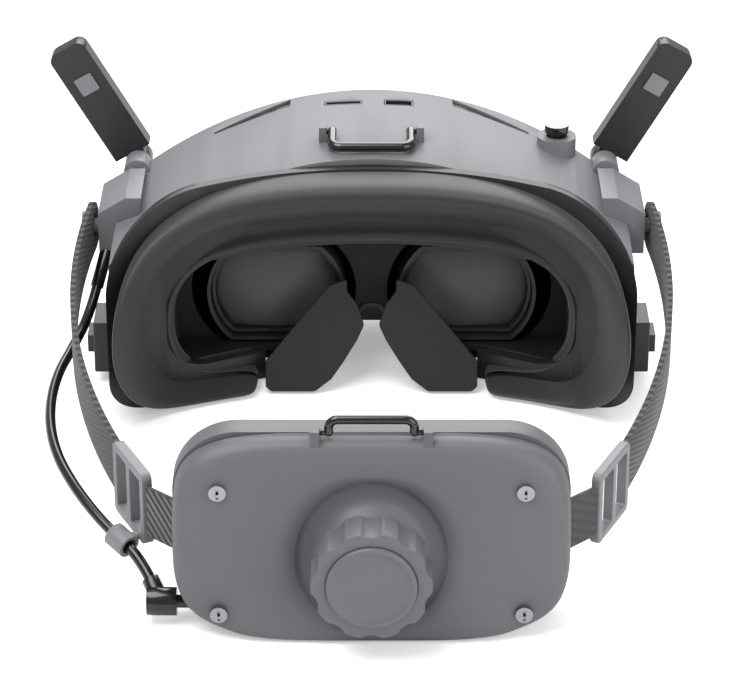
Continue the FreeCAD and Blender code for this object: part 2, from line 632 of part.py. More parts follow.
FLAP = [("$mouth_half - $run_gap", "$window_low + 1"), ("$mouth_half - $run_gap", "2.5"), ("33", "1"),
        ("18.4", "1"), ("13.2", "5"), ("9", "11"), ("4.7", "18"), ("2.4", "23"), ("4.6", "29.5"),
                ("8", "34"), ("8", "38"),
        ("14", "36"), ("24", "24")]
flap_right = profile("flap_right", "XZ", FLAP, "0", "$flap_thick")
flaps = both_sides("flaps", flap_right)
place(flaps, "0", "$flap_top_y - 38 * sin($flap_lean)", "0", -X_AXIS, "$flap_lean")
node(flaps, "nose_flaps")

# ---------------------------------------------------------------- lens mask and rails
TUBE_OUTER = "$lens_radius + $cell_wall + $run_gap + $tube_wall"
TUBE_FLAT = "$lens_flat + $cell_wall + $run_gap + $tube_wall"


def mask_opening(name, side):
    """Room for one barrel over its whole travel."""
    inner = f"{side} * ($eye_x - $eye_in)"
    outer = f"{side} * ($eye_x + $eye_out)"
    radius = f"{TUBE_OUTER} + $run_gap + 0.2"
    ends = [rod(f"{name}_{tag}", "Y", radius, "$mask_y - 1", "$mask_y + $mask_thick + 1", place_x, "$eye_z")
            for tag, place_x in (("near", inner), ("far", outer))]
    low, high = (inner, outer) if side == "1" else (outer, inner)
    middle = box(f"{name}_middle", (low, high), ("$mask_y - 1", "$mask_y + $mask_thick + 1"),
                 (f"$eye_z - ({radius})", f"$eye_z + {radius}"))
    flats = box(f"{name}_flats", ("-100", "100"), ("$mask_y - 2", "$mask_y + $mask_thick + 2"),
                (f"$eye_z - ({TUBE_FLAT}) - 1.5", f"$eye_z + {TUBE_FLAT} + $run_gap + 0.1"))
    return common(name, joined(f"{name}_form", *ends, middle), flats)


MASK_HALF = "$window_half"
MASK_LOW = "$floor_z + $wall + $seat_gap"
MASK_TOP = "$rail_z + $rail_radius + 0.9"
mask_plate = box("mask_plate", (f"-{MASK_HALF}", MASK_HALF), ("$mask_y", "$mask_y + $mask_thick"),
                 (MASK_LOW, MASK_TOP))
mask_tray = cut("mask_tray",
                box("tray_outer", (f"-{MASK_HALF}", MASK_HALF), ("$head_y + 70", "$mask_y + 0.5"),
                    (MASK_LOW, MASK_TOP)),
                box("tray_inner", (f"-{MASK_HALF} + $wall", f"{MASK_HALF} - $wall"),
                        ("$head_y + 69", "$mask_y + 1"),
                    (f"{MASK_LOW} - 1", f"{MASK_TOP} - $wall")),
                rod("tray_drum", "Z", "$rear_radius + $seat_gap", "0", "90", "0", "$head_y"))
EAR_FRONT = "$rail_front_y + $rail_radius + 1.4"
rail_ears = [box(f"rail_ear_{tag}", (low, high), ("$mask_y + $mask_thick - 0.5", EAR_FRONT),
                 ("$rail_z - $rail_radius - 1.6", "$rail_z + $rail_radius + 1.6"))
             for tag, low, high in (("right", "$rail_half - $wall", "$rail_half"),
                                    ("left", "-$rail_half", "-$rail_half + $wall"),
                                    ("middle", "-$rail_radius", "$rail_radius"))]
rail_bores = [rod(f"rail_bore_{tag}", "X", "$rail_radius + $pin_gap", "-$rail_half - 1", "$rail_half + 1",
                  f"$rail_{tag}_y", "$rail_z") for tag in ("rear", "front")]
nose_clear = nose_prism("nose_clear", "$nose_wall + $seat_gap", "$nose_depth_y + 2")
node(cut("lens_mask_piece", joined("mask_mass", mask_plate, mask_tray, *rail_ears),
         mask_opening("opening_right", "1"), mask_opening("opening_left", "-1"), *rail_bores, nose_clear),
                 "lens_mask")
node(joined("rails", *[rod(f"rail_{tag}", "X", "$rail_radius", "-$rail_half", "$rail_half", f"$rail_{tag}_y",
                           "$rail_z") for tag in ("rear", "front")]), "eyepiece_rails")

# ---------------------------------------------------------------- eyepieces


def truncated(name, radius, flat, start, end):
    """A round bar along Y at the right eye, cut flat above and below."""
    bar = rod(f"{name}_bar", "Y", radius, start, end, "$eye_x", "$eye_z")
    flats = box(f"{name}_flats", ("$eye_x - 40", "$eye_x + 40"), (f"{start} - 1", f"{end} + 1"),
                (f"$eye_z - ({flat})", f"$eye_z + {flat}"))
    return common(name, bar, flats)


STEM_TOP = f"$eye_z - ({TUBE_FLAT}) + $tube_wall + $pin_gap"
tube_shell = cut("tube_shell", truncated("tube_outer", TUBE_OUTER, TUBE_FLAT, "$tube_rear_y",
        "$tube_front_y"),
                 truncated("tube_inner", f"{TUBE_OUTER} - $tube_wall", f"{TUBE_FLAT} - $tube_wall",
                         "$tube_rear_y - 1",
                           "$tube_front_y - $tube_wall"))
lug = box("lug", ("$eye_x - $lug_half", "$eye_x + $lug_half"),
        ("$rail_rear_y - $rail_radius - 1.6", EAR_FRONT),
          (f"$eye_z + {TUBE_FLAT} - 0.4", "$rail_z + $rail_radius + 1.4"))
lug_bores = [rod(f"lug_bore_{tag}", "X", "$rail_radius + $pin_gap", "$eye_x - 20", "$eye_x + 20",
        f"$rail_{tag}_y",
                 "$rail_z") for tag in ("rear", "front")]
stem_bore = rod("stem_bore", "Z", "$stem_radius + $pin_gap", "$floor_z", "$eye_z", "$eye_x", "$knob_y")
barrel_right = cut("barrel_right", joined("barrel_mass", tube_shell, lug), *lug_bores, stem_bore)
display_right = box("display_right_piece", ("$eye_x - 15", "$eye_x + 15"),
                    ("$tube_front_y - $tube_wall - $seat_gap - $panel_thick",
                            "$tube_front_y - $tube_wall - $seat_gap"),
                    ("$eye_z - 13", "$eye_z + 13"))
CELL_FLAT = "$lens_flat + $cell_wall"
cell_ring = cut("cell_ring", truncated("cell_outer", "$lens_radius + $cell_wall", CELL_FLAT, "$cell_y",
                                       "$cell_y + $cell_deep"),
                truncated("cell_inner", "$lens_radius", "$lens_flat", "$cell_y - 1",
                        "$cell_y + $cell_deep + 1"))
tongue = box("tongue", ("$eye_x - 6", "$eye_x + 6"),
        ("$cell_y + $cell_deep - 1", "$knob_y + $cam_radius + 1.8"),
             (f"$eye_z - ({CELL_FLAT})", f"$eye_z - ({CELL_FLAT}) + 1.4"))
cam_slot = box("cam_slot", ("$eye_x + $cam_offset * 0.7 - $cam_radius - $run_gap",
                            "$eye_x + $cam_offset + $cam_radius + $run_gap"),
               ("$knob_y - $cam_radius - $cam_gap", "$knob_y + $cam_radius + $cam_gap"),
               (f"$eye_z - ({CELL_FLAT}) - 1", f"$eye_z - ({CELL_FLAT}) + 2.4"))
cell_right = cut("cell_right", joined("cell_mass", cell_ring, tongue), cam_slot)
lens_blank = truncated("lens_blank", "$lens_radius - $seat_gap", "$lens_flat - $seat_gap", "$cell_y + 0.4",
                       "$cell_y + 0.4 + $lens_thick")
lens_ball = doc.addObject("Part::Sphere", "lens_ball")
lens_ball.setExpression("Radius", expr("$lens_curve"))
place(lens_ball, "$eye_x", "$cell_y + 0.4 + $lens_curve", "$eye_z")
lens_right = common("lens_right_piece", lens_blank, lens_ball)
knob_parts = [rod("knob_disc", "Z", "$knob_radius", "0", "$knob_high", "$eye_x", "$knob_y"),
              rod("knob_stem", "Z", "$stem_radius", "$knob_high", STEM_TOP, "$eye_x", "$knob_y"),
              rod("knob_cam", "Z", "$cam_radius", STEM_TOP, f"{STEM_TOP} + 1.8", "$eye_x + $cam_offset",
                      "$knob_y")]
knob_right = joined("knob_right", *knob_parts)
for name, right in (("eyepiece_barrel", barrel_right), ("display", display_right), ("lens_cell", cell_right),
                    ("lens", lens_right)):
    node(mirrored(f"{name}_copy", right), f"{name}_left")
    node(right, f"{name}_right")
node(mirrored("knob_copy", knob_right), "focus_knob_left")
node(knob_right, "focus_knob_right")

# ---------------------------------------------------------------- electronics and fan
BOARD_TOP = "$board_z + $board_thick"
board_plate = box("board_plate", ("-$board_half", "$board_half"), ("$board_rear_y", "$board_front_y"),
                  ("$board_z", BOARD_TOP))
chips = [box(f"chip_{number}", (f"{x} - 6", f"{x} + 6"), ("$fan_y - 6", "$fan_y + 6"),
             (BOARD_TOP, BOARD_TOP + " + 1.4"))
         for number, x in enumerate(("-26", "26"))]
sockets = [box(f"socket_{number}", (f"{x} - 4", f"{x} + 4"), ("$board_rear_y + 1", "$board_rear_y + 5"),
               (BOARD_TOP, BOARD_TOP + " + 2.2")) for number, x in enumerate(("-18", "18"))]
node(joined("board", board_plate, *chips, *sockets), "main_board")
FAN_LOW = BOARD_TOP + " + $seat_gap"
FAN_WALL = "$fan_radius + 1"
fan_case = cut("fan_case", rod("fan_drum", "Z", FAN_WALL + " + 1.6", FAN_LOW, FAN_LOW + " + $fan_high",
        "0", "$fan_y"),
               rod("fan_bowl", "Z", FAN_WALL, FAN_LOW + " + 1.4", FAN_LOW + " + $fan_high + 1", "0",
                       "$fan_y"),
               box("fan_outlet", ("-5", "5"), ("$fan_y + 2", "$fan_y + 20"),
                   (FAN_LOW + " + 1.4", FAN_LOW + " + $fan_high + 1")))
fan_spindle = rod("fan_spindle", "Z", "$fan_post", FAN_LOW + " + 1", FAN_LOW + " + $fan_high - 1.4", "0",
        "$fan_y")
node(joined("fan_housing_piece", fan_case, fan_spindle), "fan_housing")
rotor = doc.addObject("PartDesign::Body", "rotor")
hub_sketch = sketch_on(rotor, "XY", "hub_outline")
hub_sketch.addGeometry(Part.Circle(Vector(), Vector(0, 0, 1), 3.4), False)
hub_sketch.addConstraint(Sketcher.Constraint("Coincident", 0, 3, -1, 1))
hub_sketch.setExpression(f"Constraints[{hub_sketch.addConstraint(Sketcher.Constraint('Radius', 0, 3.4))}]",
                         expr("$fan_post + 2.2"))
hub_pad = rotor.newObject("PartDesign::Pad", "hub_pad")
hub_pad.Profile = hub_sketch
hub_pad.setExpression("Length", expr("$fan_high - 2.6"))
blade_sketch = sketch_on(rotor, "XY", "blade_outline")
add_loop(blade_sketch, [("$fan_post + 1.6", "-0.4"), ("$fan_radius", "1.6"), ("$fan_radius", "2.4"),
                        ("$fan_post + 1.6", "0.4")])
blade_pad = rotor.newObject("PartDesign::Pad", "blade_pad")
blade_pad.Profile = blade_sketch
blade_pad.setExpression("Length", expr("$fan_high - 3.2"))
blades = rotor.newObject("PartDesign::PolarPattern", "blades")
blades.Originals = [blade_pad]
blades.Axis = (hub_sketch, ["N_Axis"])
blades.Angle = 360
blades.Occurrences = 9
rotor.Tip = blades
rotor_bored = cut("rotor_bored", rotor, rod("rotor_bore", "Z", "$fan_post + $pin_gap", "-1", "$fan_high",
        "0", "0"))
place(rotor_bored, "0", "$fan_y", FAN_LOW + " + 1.4 + $run_gap")
node(rotor_bored, "fan_rotor")

# ---------------------------------------------------------------- antennas
ARM_REAR = "$hinge_y - $arm_thick / 2"
bracket_mass = joined("bracket_mass",
                      box("bracket_box", ("$hinge_x - $knuckle_radius - 3", "$hinge_x + $knuckle_radius"),
                          ("$hinge_y - 12", ARM_REAR + " - $run_gap"), ("$hinge_z - 9", "$hinge_z")),
                      rod("bracket_round", "Y", "$knuckle_radius", "$hinge_y - 12", ARM_REAR + " - $run_gap",
                          "$hinge_x", "$hinge_z"))
bracket_right = cut("bracket_right", bracket_mass, seat_block,
                    rod("bracket_bore", "Y", "$hinge_pin + $pin_gap", "$hinge_y - 7", "$hinge_y",
                            "$hinge_x", "$hinge_z"))
node(mirrored("bracket_copy", bracket_right), "antenna_bracket_left")
node(bracket_right, "antenna_bracket_right")
pin_right = joined("pin_right",
                   rod("hinge_shank", "Y", "$hinge_pin", "$hinge_y - 6.8",
                           "$hinge_y + $arm_thick / 2 + $run_gap",
                       "$hinge_x", "$hinge_z"),
                   rod("hinge_head", "Y", "$hinge_pin + 1.2", "$hinge_y + $arm_thick / 2 + $run_gap",
                       "$hinge_y + $arm_thick / 2 + 1.5", "$hinge_x", "$hinge_z"))
node(both_sides("hinge_pins", pin_right), "antenna_pins")
arm_slab = profile("arm_slab", "XZ",
                   rectangle("$knuckle_radius - 0.6", "$arm_long", "-$arm_wide / 2", "$arm_wide / 2"),
                   "-$arm_thick / 2", "$arm_thick / 2")
rounded(arm_slab, "3", Y_AXIS, lambda middle: middle.x > 20)
arm_knuckle = rod("arm_knuckle", "Y", "$knuckle_radius", "-$arm_thick / 2", "$arm_thick / 2", "0", "0")
arm_right = cut("arm_right", joined("arm_mass", arm_slab, arm_knuckle),
                rod("arm_bore", "Y", "$hinge_pin + $pin_gap", "-$arm_thick", "$arm_thick", "0", "0"))
cap_right = profile(
    "cap_right", "XZ",
    rectangle("$button_place - $button_half", "$button_place + $button_half", "-$button_half",
            "$button_half"),
    "-$arm_thick / 2 - $button_proud", "-$arm_thick / 2 - 0.02")
for piece in (arm_right, cap_right):
    place(piece, "$hinge_x", "$hinge_y", "$hinge_z", -Y_AXIS, "$arm_tilt")
node(mirrored("arm_copy", arm_right), "antenna_arm_left")
node(arm_right, "antenna_arm_right")
node(mirrored("cap_copy", cap_right), "antenna_cap_left")
node(cap_right, "antenna_cap_right")

# ---------------------------------------------------------------- small stick


def stick_rod(name, radius, low, high):
    """A rod on the stick's upright axis, its ends counted from the pivot."""
    return rod(name, "Z", radius, f"$stick_z + {low}", f"$stick_z + {high}", "$stick_x", "$stick_y")


node(cut("gimbal", stick_rod("gimbal_disc", "$stick_cap - 1", "(-0.6)", "0.6"),
         stick_rod("gimbal_hole", "$stick_cap - 2.1", "(-2)", "2")), "stick_gimbal")
node(joined("stem", stick_rod("stem_foot", "$stick_cap - 2.4", "(-0.5)", "0.5"),
            stick_rod("stem_rod", "$stick_rod", "0", "$stick_cap_low + 0.8")), "stick_stem")
node(cut("cap", stick_rod("cap_disc", "$stick_cap", "$stick_cap_low", "$stick_cap_high"),
         stick_rod("cap_socket", "$stick_rod + $pin_gap", "$stick_cap_low - 1", "$stick_cap_high - 1")),
                 "stick_cap")

# ---------------------------------------------------------------- bails


def bail(name, half, reach, wire):
    """A U of round bar that reaches along -Y from its hinge line, with a stub outwards at each end."""
    bend = 2 * wire
    corner = bend * (1 - math.sqrt(0.5))
    start, end = Vector(half, 0, 0), Vector(-half, 0, 0)
    path = Part.Wire([
        Part.LineSegment(start, Vector(half, bend - reach, 0)).toShape(),
        Part.Arc(Vector(half, bend - reach, 0), Vector(half - corner, corner - reach, 0),
                 Vector(half - bend, -reach, 0)).toShape(),
        Part.LineSegment(Vector(half - bend, -reach, 0), Vector(bend - half, -reach, 0)).toShape(),
        Part.Arc(Vector(bend - half, -reach, 0), Vector(corner - half, corner - reach, 0),
                 Vector(-half, bend - reach, 0)).toShape(),
        Part.LineSegment(Vector(-half, bend - reach, 0), end).toShape()])
    section = Part.Wire(Part.makeCircle(wire, start, Y_AXIS))
    bar = path.makePipeShell([section], True, False)
    stub = wire * 0.7
    trunnion = 2 * (half + wire + size("run_gap") + 2.2)
    pieces = [Part.makeSphere(wire, start), Part.makeSphere(wire, end)]
    for side, at in ((1, start), (-1, end)):
        pieces.append(Part.makeCylinder(stub, trunnion / 2 - half, at, Vector(side, 0, 0)))
    return feature(name, bar.fuse(pieces))


top_bail = bail("top_bail_piece", size("bail_half"), size("bail_reach"), size("bail_wire"))
place(top_bail, "0", "$bail_y", "$bail_z", X_AXIS, "$crown_slope")
node(top_bail, "top_bail")

# ---------------------------------------------------------------- strap anchors and side latches
anchor_box = profile("anchor_box", "XZ", [("$half_width - 7", "$anchor_low"), ("$anchor_x", "$anchor_low"),
                                          ("$anchor_x", "$anchor_high - 4"),
                                                  ("$half_width - 4", "$anchor_high + 1.5"),
                                          ("$half_width - 9", "$anchor_high + 1.5")],
                     "$anchor_rear_y", "$anchor_front_y")
stud = joined("stud", rod("stud_shank", "X", "$stud_radius - $pin_gap", "$anchor_x - 2", "$anchor_x + 5.6",
                          "$pivot_y", "$pivot_z"),
              rod("stud_head_disc", "X", "$stud_head", "$anchor_x + 4.4", "$anchor_x + 5.6", "$pivot_y",
                      "$pivot_z"))
anchor_right = joined("anchor_right", cut("anchor_body", anchor_box, seat_block), stud)
node(anchor_right, "strap_anchor_right")
latch_block = cut("latch_block",
                  box("latch_mass", ("$half_width - 8", "$latch_x"),
                      ("$latch_y - $latch_long / 2", "$latch_y + $latch_long / 2"),
                      ("$latch_z - $latch_high / 2", "$latch_z + $latch_high / 2")), seat_block,
                  box("latch_pocket", ("$half_width + 2.4", "$latch_x + 1"),
                      ("$latch_y - $tab_long / 2 - $run_gap", "$latch_y + $tab_long / 2 + $run_gap"),
                      ("$latch_z - $tab_high / 2 - $run_gap", "$latch_z + $tab_high / 2 + $run_gap")))
tab_right = box("tab_right", ("$half_width + 2.4 + $tab_travel + $run_gap", "$latch_x + $tab_proud"),
                ("$latch_y - $tab_long / 2", "$latch_y + $tab_long / 2"),
                ("$latch_z - $tab_high / 2", "$latch_z + $tab_high / 2"))
node(mirrored("latch_copy", latch_block), "side_latch_left")
node(latch_block, "side_latch_right")
node(mirrored("tab_copy", tab_right), "latch_tab_left")
node(tab_right, "latch_tab_right")

# ---------------------------------------------------------------- straps
strap_ring = cut("strap_ring",
                 rod("strap_outer", "Z", "$strap_arc + $strap_thick / 2", "0", "90", "$strap_arc_x",
                     "$strap_arc_y"),
                 rod("strap_inner", "Z", "$strap_arc - $strap_thick / 2", "-1", "91", "$strap_arc_x",
                     "$strap_arc_y"))
strap_side = profile("strap_side", "YZ", [("$strap_end_y", "$strap_end_z - $strap_wide / 2"),
                                          ("$pivot_y + 4", "$pivot_z - $strap_wide / 2 + 0.9"),
                                          ("$pivot_y + 4", "$pivot_z + $strap_wide / 2 + 0.9"),
                                          ("$strap_end_y", "$strap_end_z + $strap_wide / 2")], "40", "120")
rounded(strap_side, "5", X_AXIS, lambda middle: middle.y > 0)
strap_right = cut("strap_cut", common("strap_band", strap_ring, strap_side),
                  rod("strap_eye", "X", "$stud_radius + $run_gap + $seat_gap", "$anchor_x - 5",
                          "$anchor_x + 9",
                      "$pivot_y", "$pivot_z"))
node(mirrored("strap_copy", strap_right), "strap_left")
node(strap_right, "strap_right")

# ---------------------------------------------------------------- buckles and webbing
bar_half = "$buckle_rail / 2"
window_high = "$buckle_high / 2 - $buckle_rail"
buckle_windows = [rectangle("-$buckle_long / 2 + $buckle_rail", f"-({bar_half})", f"-({window_high})",
        window_high),
                  rectangle(bar_half, "$buckle_long / 2 - $buckle_rail", f"-({window_high})", window_high)]
buckle_right = profile("buckle_frame", "XZ",
                       rectangle("-$buckle_long / 2", "$buckle_long / 2", "-$buckle_high / 2",
                               "$buckle_high / 2"),
                       "-$buckle_thick / 2", "$buckle_thick / 2", *buckle_windows)
rounded(buckle_right, "2", Y_AXIS, lambda middle: abs(middle.x) > value("$buckle_long / 2 - 0.1"))
place(buckle_right, "$buckle_x", "$buckle_y", "$buckle_z", Z_AXIS, "$buckle_turn")
node(buckle_right, "buckle_right")


def webbing_shape():
    """The short flat band from the right buckle's rear bar into the pack, on a slant."""
    turn = math.radians(size("buckle_turn"))
    reach = size("buckle_long") / 2 + size("run_gap")
    start = Vector(size("buckle_x") - reach * math.cos(turn), size("buckle_y") - reach * math.sin(turn),
                   size("buckle_z"))
    end = Vector(size("webbing_end_x"), size("webbing_end_y"), size("webbing_end_z"))
    half = Vector(0, 0, size("webbing_wide") / 2)
    across = (end - start).cross(Z_AXIS).normalize() * size("webbing_thick")
    outline = [corner - across / 2 for corner in (start - half, end - half, end + half, start + half)]
    return Part.Face(Part.makePolygon(outline + outline[:1])).extrude(across)


node(both_sides("webbings", feature("webbing_right", webbing_shape())), "pack_webbing")

# ---------------------------------------------------------------- battery pack


def pack_block(name, inset):
    """The pack's outer form, drawn in by an inset: rounded from behind, thicker below."""
    half = f"($pack_half - ({inset}))"
    form = profile(f"{name}_form", "XZ", rectangle(f"-{half}", half, inset, f"$pack_high - ({inset})"),
                   "$pack_rear_low - 1", f"$pack_face_y - ({inset})")
    rounded(form, f"$pack_round - ({inset})", Y_AXIS, lambda middle: True)
    wedge = profile(f"{name}_wedge", "YZ", [(f"$pack_rear_low + ({inset})", "-1"), ("$pack_face_y + 2", "-1"),
                                            ("$pack_face_y + 2", "$pack_high + 1"),
                                            (f"$pack_rear_high + ({inset})", "$pack_high + 1")],
                    "-$pack_half - 1", "$pack_half + 1")
    return common(name, form, wedge)


pack_outer = pack_block("pack_outer", "0")
pack_inner = pack_block("pack_inner", "$wall")
pack_skin = cut("pack_skin", pack_outer, pack_inner)
rear_space = box("rear_space", ("-90", "90"), ("-140", "$pack_split_y - $seat_gap / 2"), ("-5", "90"))
head_space = box("head_space", ("-90", "90"), ("$pack_split_y + $seat_gap / 2", "-60"), ("-5", "90"))


def pack_rods(name, radius, start, end):
    """One rod along Y at each of the four screw places of the pack."""
    rods = [rod(f"{name}_{tag}", "Y", radius, start, end, "$pack_screw_x", f"$pack_screw_{tag}")
            for tag in ("high", "low")]
    return both_sides(name, joined(f"{name}_right", *rods))


pack_posts = common("pack_posts", pack_rods("pack_post_rods", "$pack_post", "$pack_rear_low",
        "$pack_face_y - 1"),
                    pack_outer)
pack_bores = pack_rods("pack_bores", "$screw_radius + $pin_gap", "$pack_rear_low - 2", "$pack_face_y - 3")


def rear_of(height):
    """The pack's rear face at a height, as an expression."""
    return f"($pack_rear_low + ($pack_rear_high - $pack_rear_low) * ({height} + 1) / ($pack_high + 2))"


def pack_screw(name, tag, head, grow):
    """One pack screw, or with a margin the well that it sits in."""
    rear = rear_of(f"$pack_screw_{tag}")
    return rod(name, "Y", f"{head} + {grow}", f"{rear} - 0.9 - {grow} * 20", f"{rear} + $screw_head + {grow}",
               "$pack_screw_x", f"$pack_screw_{tag}")


wells = both_sides("wells", joined("wells_right", pack_screw("well_high", "high", "$pack_head", "$seat_gap"),
                                   pack_screw("well_low", "low", "$pack_head", "$seat_gap")))
screws_right = [joined(f"pack_screw_{tag}", pack_screw(f"pack_head_{tag}", tag, "$pack_head", "0"),
                       rod(f"pack_shank_{tag}", "Y", "$screw_radius",
                               rear_of(f"$pack_screw_{tag}") + " + $screw_head",
                           "$pack_face_y - 4", "$pack_screw_x", f"$pack_screw_{tag}")) for tag in ("high",
                                   "low")]
node(both_sides("pack_screws_piece", joined("pack_screws_right", *screws_right)), "pack_screws")

webbing_slot = box("webbing_slot", ("$pack_half - 8", "$pack_half + 4"),
                   ("$webbing_end_y - 3.6", "$pack_split_y - 1"),
                   ("$webbing_end_z - $webbing_wide / 2 - $slot_room",
                    "$webbing_end_z + $webbing_wide / 2 + $slot_room / 2"))
dial_collar = rod("dial_collar", "Y", "$collar_radius", "$dial_rear_y + $dial_deep + 1", "-96", "0",
        "$dial_z")
shaft_bore = rod("shaft_bore", "Y", "$dial_shaft + $pin_gap", "-125", "-79", "0", "$dial_z")
cable_boss = rod("cable_boss", "X", "$elbow_radius + 1", "$elbow_x + $elbow_long + $seat_gap",
                 "$elbow_x + $elbow_long + 9", "$elbow_y", "$elbow_z")
cable_bore = rod("cable_bore", "X", "$elbow_pin_radius + $seat_gap", "$elbow_x",
        "$elbow_x + $elbow_long + 10",
                 "$elbow_y", "$elbow_z")
pack_ears = ears("pack_ears", "$loop_half", "$loop_y", "$loop_z", "$pack_high - 1.5", "$loop_wire")
cover_mass = joined("cover_mass", common("cover_skin", joined("cover_form", pack_skin, pack_posts),
        rear_space),
                    dial_collar, cable_boss, pack_ears)
node(cut("pack_cover_piece", cover_mass, pack_bores, wells, both_sides("webbing_slots", webbing_slot),
        shaft_bore,
         cable_bore), "pack_cover")
bearing = rod("bearing", "Y", "$dial_shaft + $bearing_wall", "$gear_y + $gear_thick / 2 + $run_gap",
              "$pack_face_y - 1", "0", "$dial_z")
base_skin = common("base_skin", joined("base_form", pack_skin, pack_posts), head_space)
node(cut("pack_base_piece", joined("base_mass", base_skin, bearing), pack_bores, shaft_bore), "pack_base")
cushion = profile("cushion", "XZ", rectangle("-$pack_half + $cushion_margin", "$pack_half - $cushion_margin",
                                                   "$cushion_margin - 1", "$pack_high - $cushion_margin + 1"),
                  "$pack_face_y + $seat_gap", "$pack_face_y + $cushion_thick")
rounded(cushion, "$cushion_corner", Y_AXIS, lambda middle: True)
node(cushion, "pack_cushion")
CELL_START = "$dial_shaft + $bearing_wall + $run_gap"
cell_box = box("cell_box", (CELL_START, CELL_START + " + $cell_half * 2"),
               ("$pack_face_y - $wall - $seat_gap - $cell_thick", "$pack_face_y - $wall - $seat_gap"),
               ("$dial_z + 1 - $cell_high / 2", "$dial_z + 1 + $cell_high / 2"))
node(both_sides("cells", cell_box), "battery_cells")
pack_loop = bail("pack_loop", size("loop_half"), size("loop_reach"), size("loop_wire"))
place(pack_loop, "0", "$loop_y", "$loop_z", -X_AXIS, "90")
node(pack_loop, "pack_bail")

# ---------------------------------------------------------------- dial
RING_REAR = "$dial_rear_y + 1.5"
dial_ring = doc.addObject("PartDesign::Body", "dial_ring")
ring_sketch = sketch_on(dial_ring, "XZ", "ring_outline", f"-({RING_REAR} + $dial_deep - 1)")
ring_sketch.addGeometry(Part.Circle(Vector(), Z_AXIS, 17), False)
ring_sketch.addConstraint(Sketcher.Constraint("Coincident", 0, 3, -1, 1))
ring_sketch.setExpression(f"Constraints[{ring_sketch.addConstraint(Sketcher.Constraint('Radius', 0, 17))}]",
                          expr("$dial_radius"))
ring_pad = dial_ring.newObject("PartDesign::Pad", "ring_pad")
ring_pad.Profile = ring_sketch
ring_pad.setExpression("Length", expr("$dial_deep - 1"))
scallop_sketch = sketch_on(dial_ring, "XZ", "scallop_outline", f"-({RING_REAR} + $dial_deep - 1)")
scallop_sketch.addGeometry(Part.Circle(Vector(0, 21, 0), Z_AXIS, 5), False)
for kind, text, number in (("DistanceX", "0", 0), ("DistanceY", "$scallop_place", 21)):
    held = Sketcher.Constraint(kind, -1, 1, 0, 3, number)
    scallop_sketch.setExpression(f"Constraints[{scallop_sketch.addConstraint(held)}]", expr(text))
scallop_sketch.setExpression(
        f"Constraints[{scallop_sketch.addConstraint(Sketcher.Constraint('Radius', 0, 5))}]",
                             expr("$scallop_radius"))
doc.recompute()
scallop = dial_ring.newObject("PartDesign::Pocket", "scallop")
scallop.Profile = scallop_sketch
scallop.setExpression("Length", expr("$dial_deep + 1"))
scallop.Reversed = True
doc.recompute()
scallops = dial_ring.newObject("PartDesign::PolarPattern", "scallops")
scallops.Originals = [scallop]
scallops.Axis = (ring_sketch, ["N_Axis"])
scallops.Angle = 360
scallops.Occurrences = 10
dial_ring.Tip = scallops
doc.recompute()
if scallops.Shape.Volume >= ring_pad.Shape.Volume:
    raise RuntimeError("the dial's scallops cut nothing")
place(dial_ring, "0", "0", "$dial_z")
cap_recess = rod("cap_recess", "Y", "$dial_cap + $seat_gap", f"{RING_REAR} - 1", f"{RING_REAR} + 1", "0",
        "$dial_z")
node(cut("dial_knob_piece", dial_ring, shaft_bore, cap_recess), "dial_knob")
cap_ball = doc.addObject("Part::Sphere", "cap_ball")
cap_ball.setExpression("Radius", expr("$dish_radius"))
place(cap_ball, "0", "$dial_rear_y - $dish_radius + 0.8", "$dial_z")
cap_disc = rod("cap_disc_form", "Y", "$dial_cap", "$dial_rear_y", f"{RING_REAR} + 1 - $seat_gap", "0",
        "$dial_z")
node(cut("dial_cap_piece", cap_disc, cap_ball), "dial_cap")

# ---------------------------------------------------------------- pinion and racks
PITCH_RADIUS = "$tooth_module * $pinion_teeth / 2"
PITCH = "$tooth_module * pi"
SLOPE = "tan(20)"
ADDENDUM = "$tooth_module * 0.85"
DEDENDUM = "$tooth_module * 1.25"


def tooth(rise, base):
    """Four corners of a straight tooth on a pitch line at the given height, pointing up the page."""
    half = "($tooth_module * pi / 4 - $tooth_play / 2)"
    low, high = f"{half} + {base} * {SLOPE}", f"{half} - {ADDENDUM} * {SLOPE}"
    return [(f"-({low})", f"{rise} - {base}"), (low, f"{rise} - {base}"), (high, f"{rise} + {ADDENDUM}"),
            (f"-({high})", f"{rise} + {ADDENDUM}")]


GEAR_FRONT = "$gear_y + $gear_thick / 2"
pinion = doc.addObject("PartDesign::Body", "pinion")
root_sketch = sketch_on(pinion, "XZ", "root_outline", f"-({GEAR_FRONT})")
root_sketch.addGeometry(Part.Circle(Vector(), Z_AXIS, 5.4), False)
root_sketch.addConstraint(Sketcher.Constraint("Coincident", 0, 3, -1, 1))
root_sketch.setExpression(f"Constraints[{root_sketch.addConstraint(Sketcher.Constraint('Radius', 0, 5.4))}]",
                          expr(f"{PITCH_RADIUS} - {DEDENDUM}"))
root_pad = pinion.newObject("PartDesign::Pad", "root_pad")
root_pad.Profile = root_sketch
root_pad.setExpression("Length", expr("$gear_thick"))
tooth_sketch = sketch_on(pinion, "XZ", "tooth_outline", f"-({GEAR_FRONT})")
add_loop(tooth_sketch, tooth(PITCH_RADIUS, f"({DEDENDUM} + 0.4)"))
tooth_pad = pinion.newObject("PartDesign::Pad", "tooth_pad")
tooth_pad.Profile = tooth_sketch
tooth_pad.setExpression("Length", expr("$gear_thick"))
doc.recompute()
pinion_ring = pinion.newObject("PartDesign::PolarPattern", "pinion_ring")
pinion_ring.Originals = [tooth_pad]
pinion_ring.Axis = (root_sketch, ["N_Axis"])
pinion_ring.Angle = 360
pinion_ring.setExpression("Occurrences", expr("$pinion_teeth"))
pinion.Tip = pinion_ring
place(pinion, "0", "0", "$dial_z")
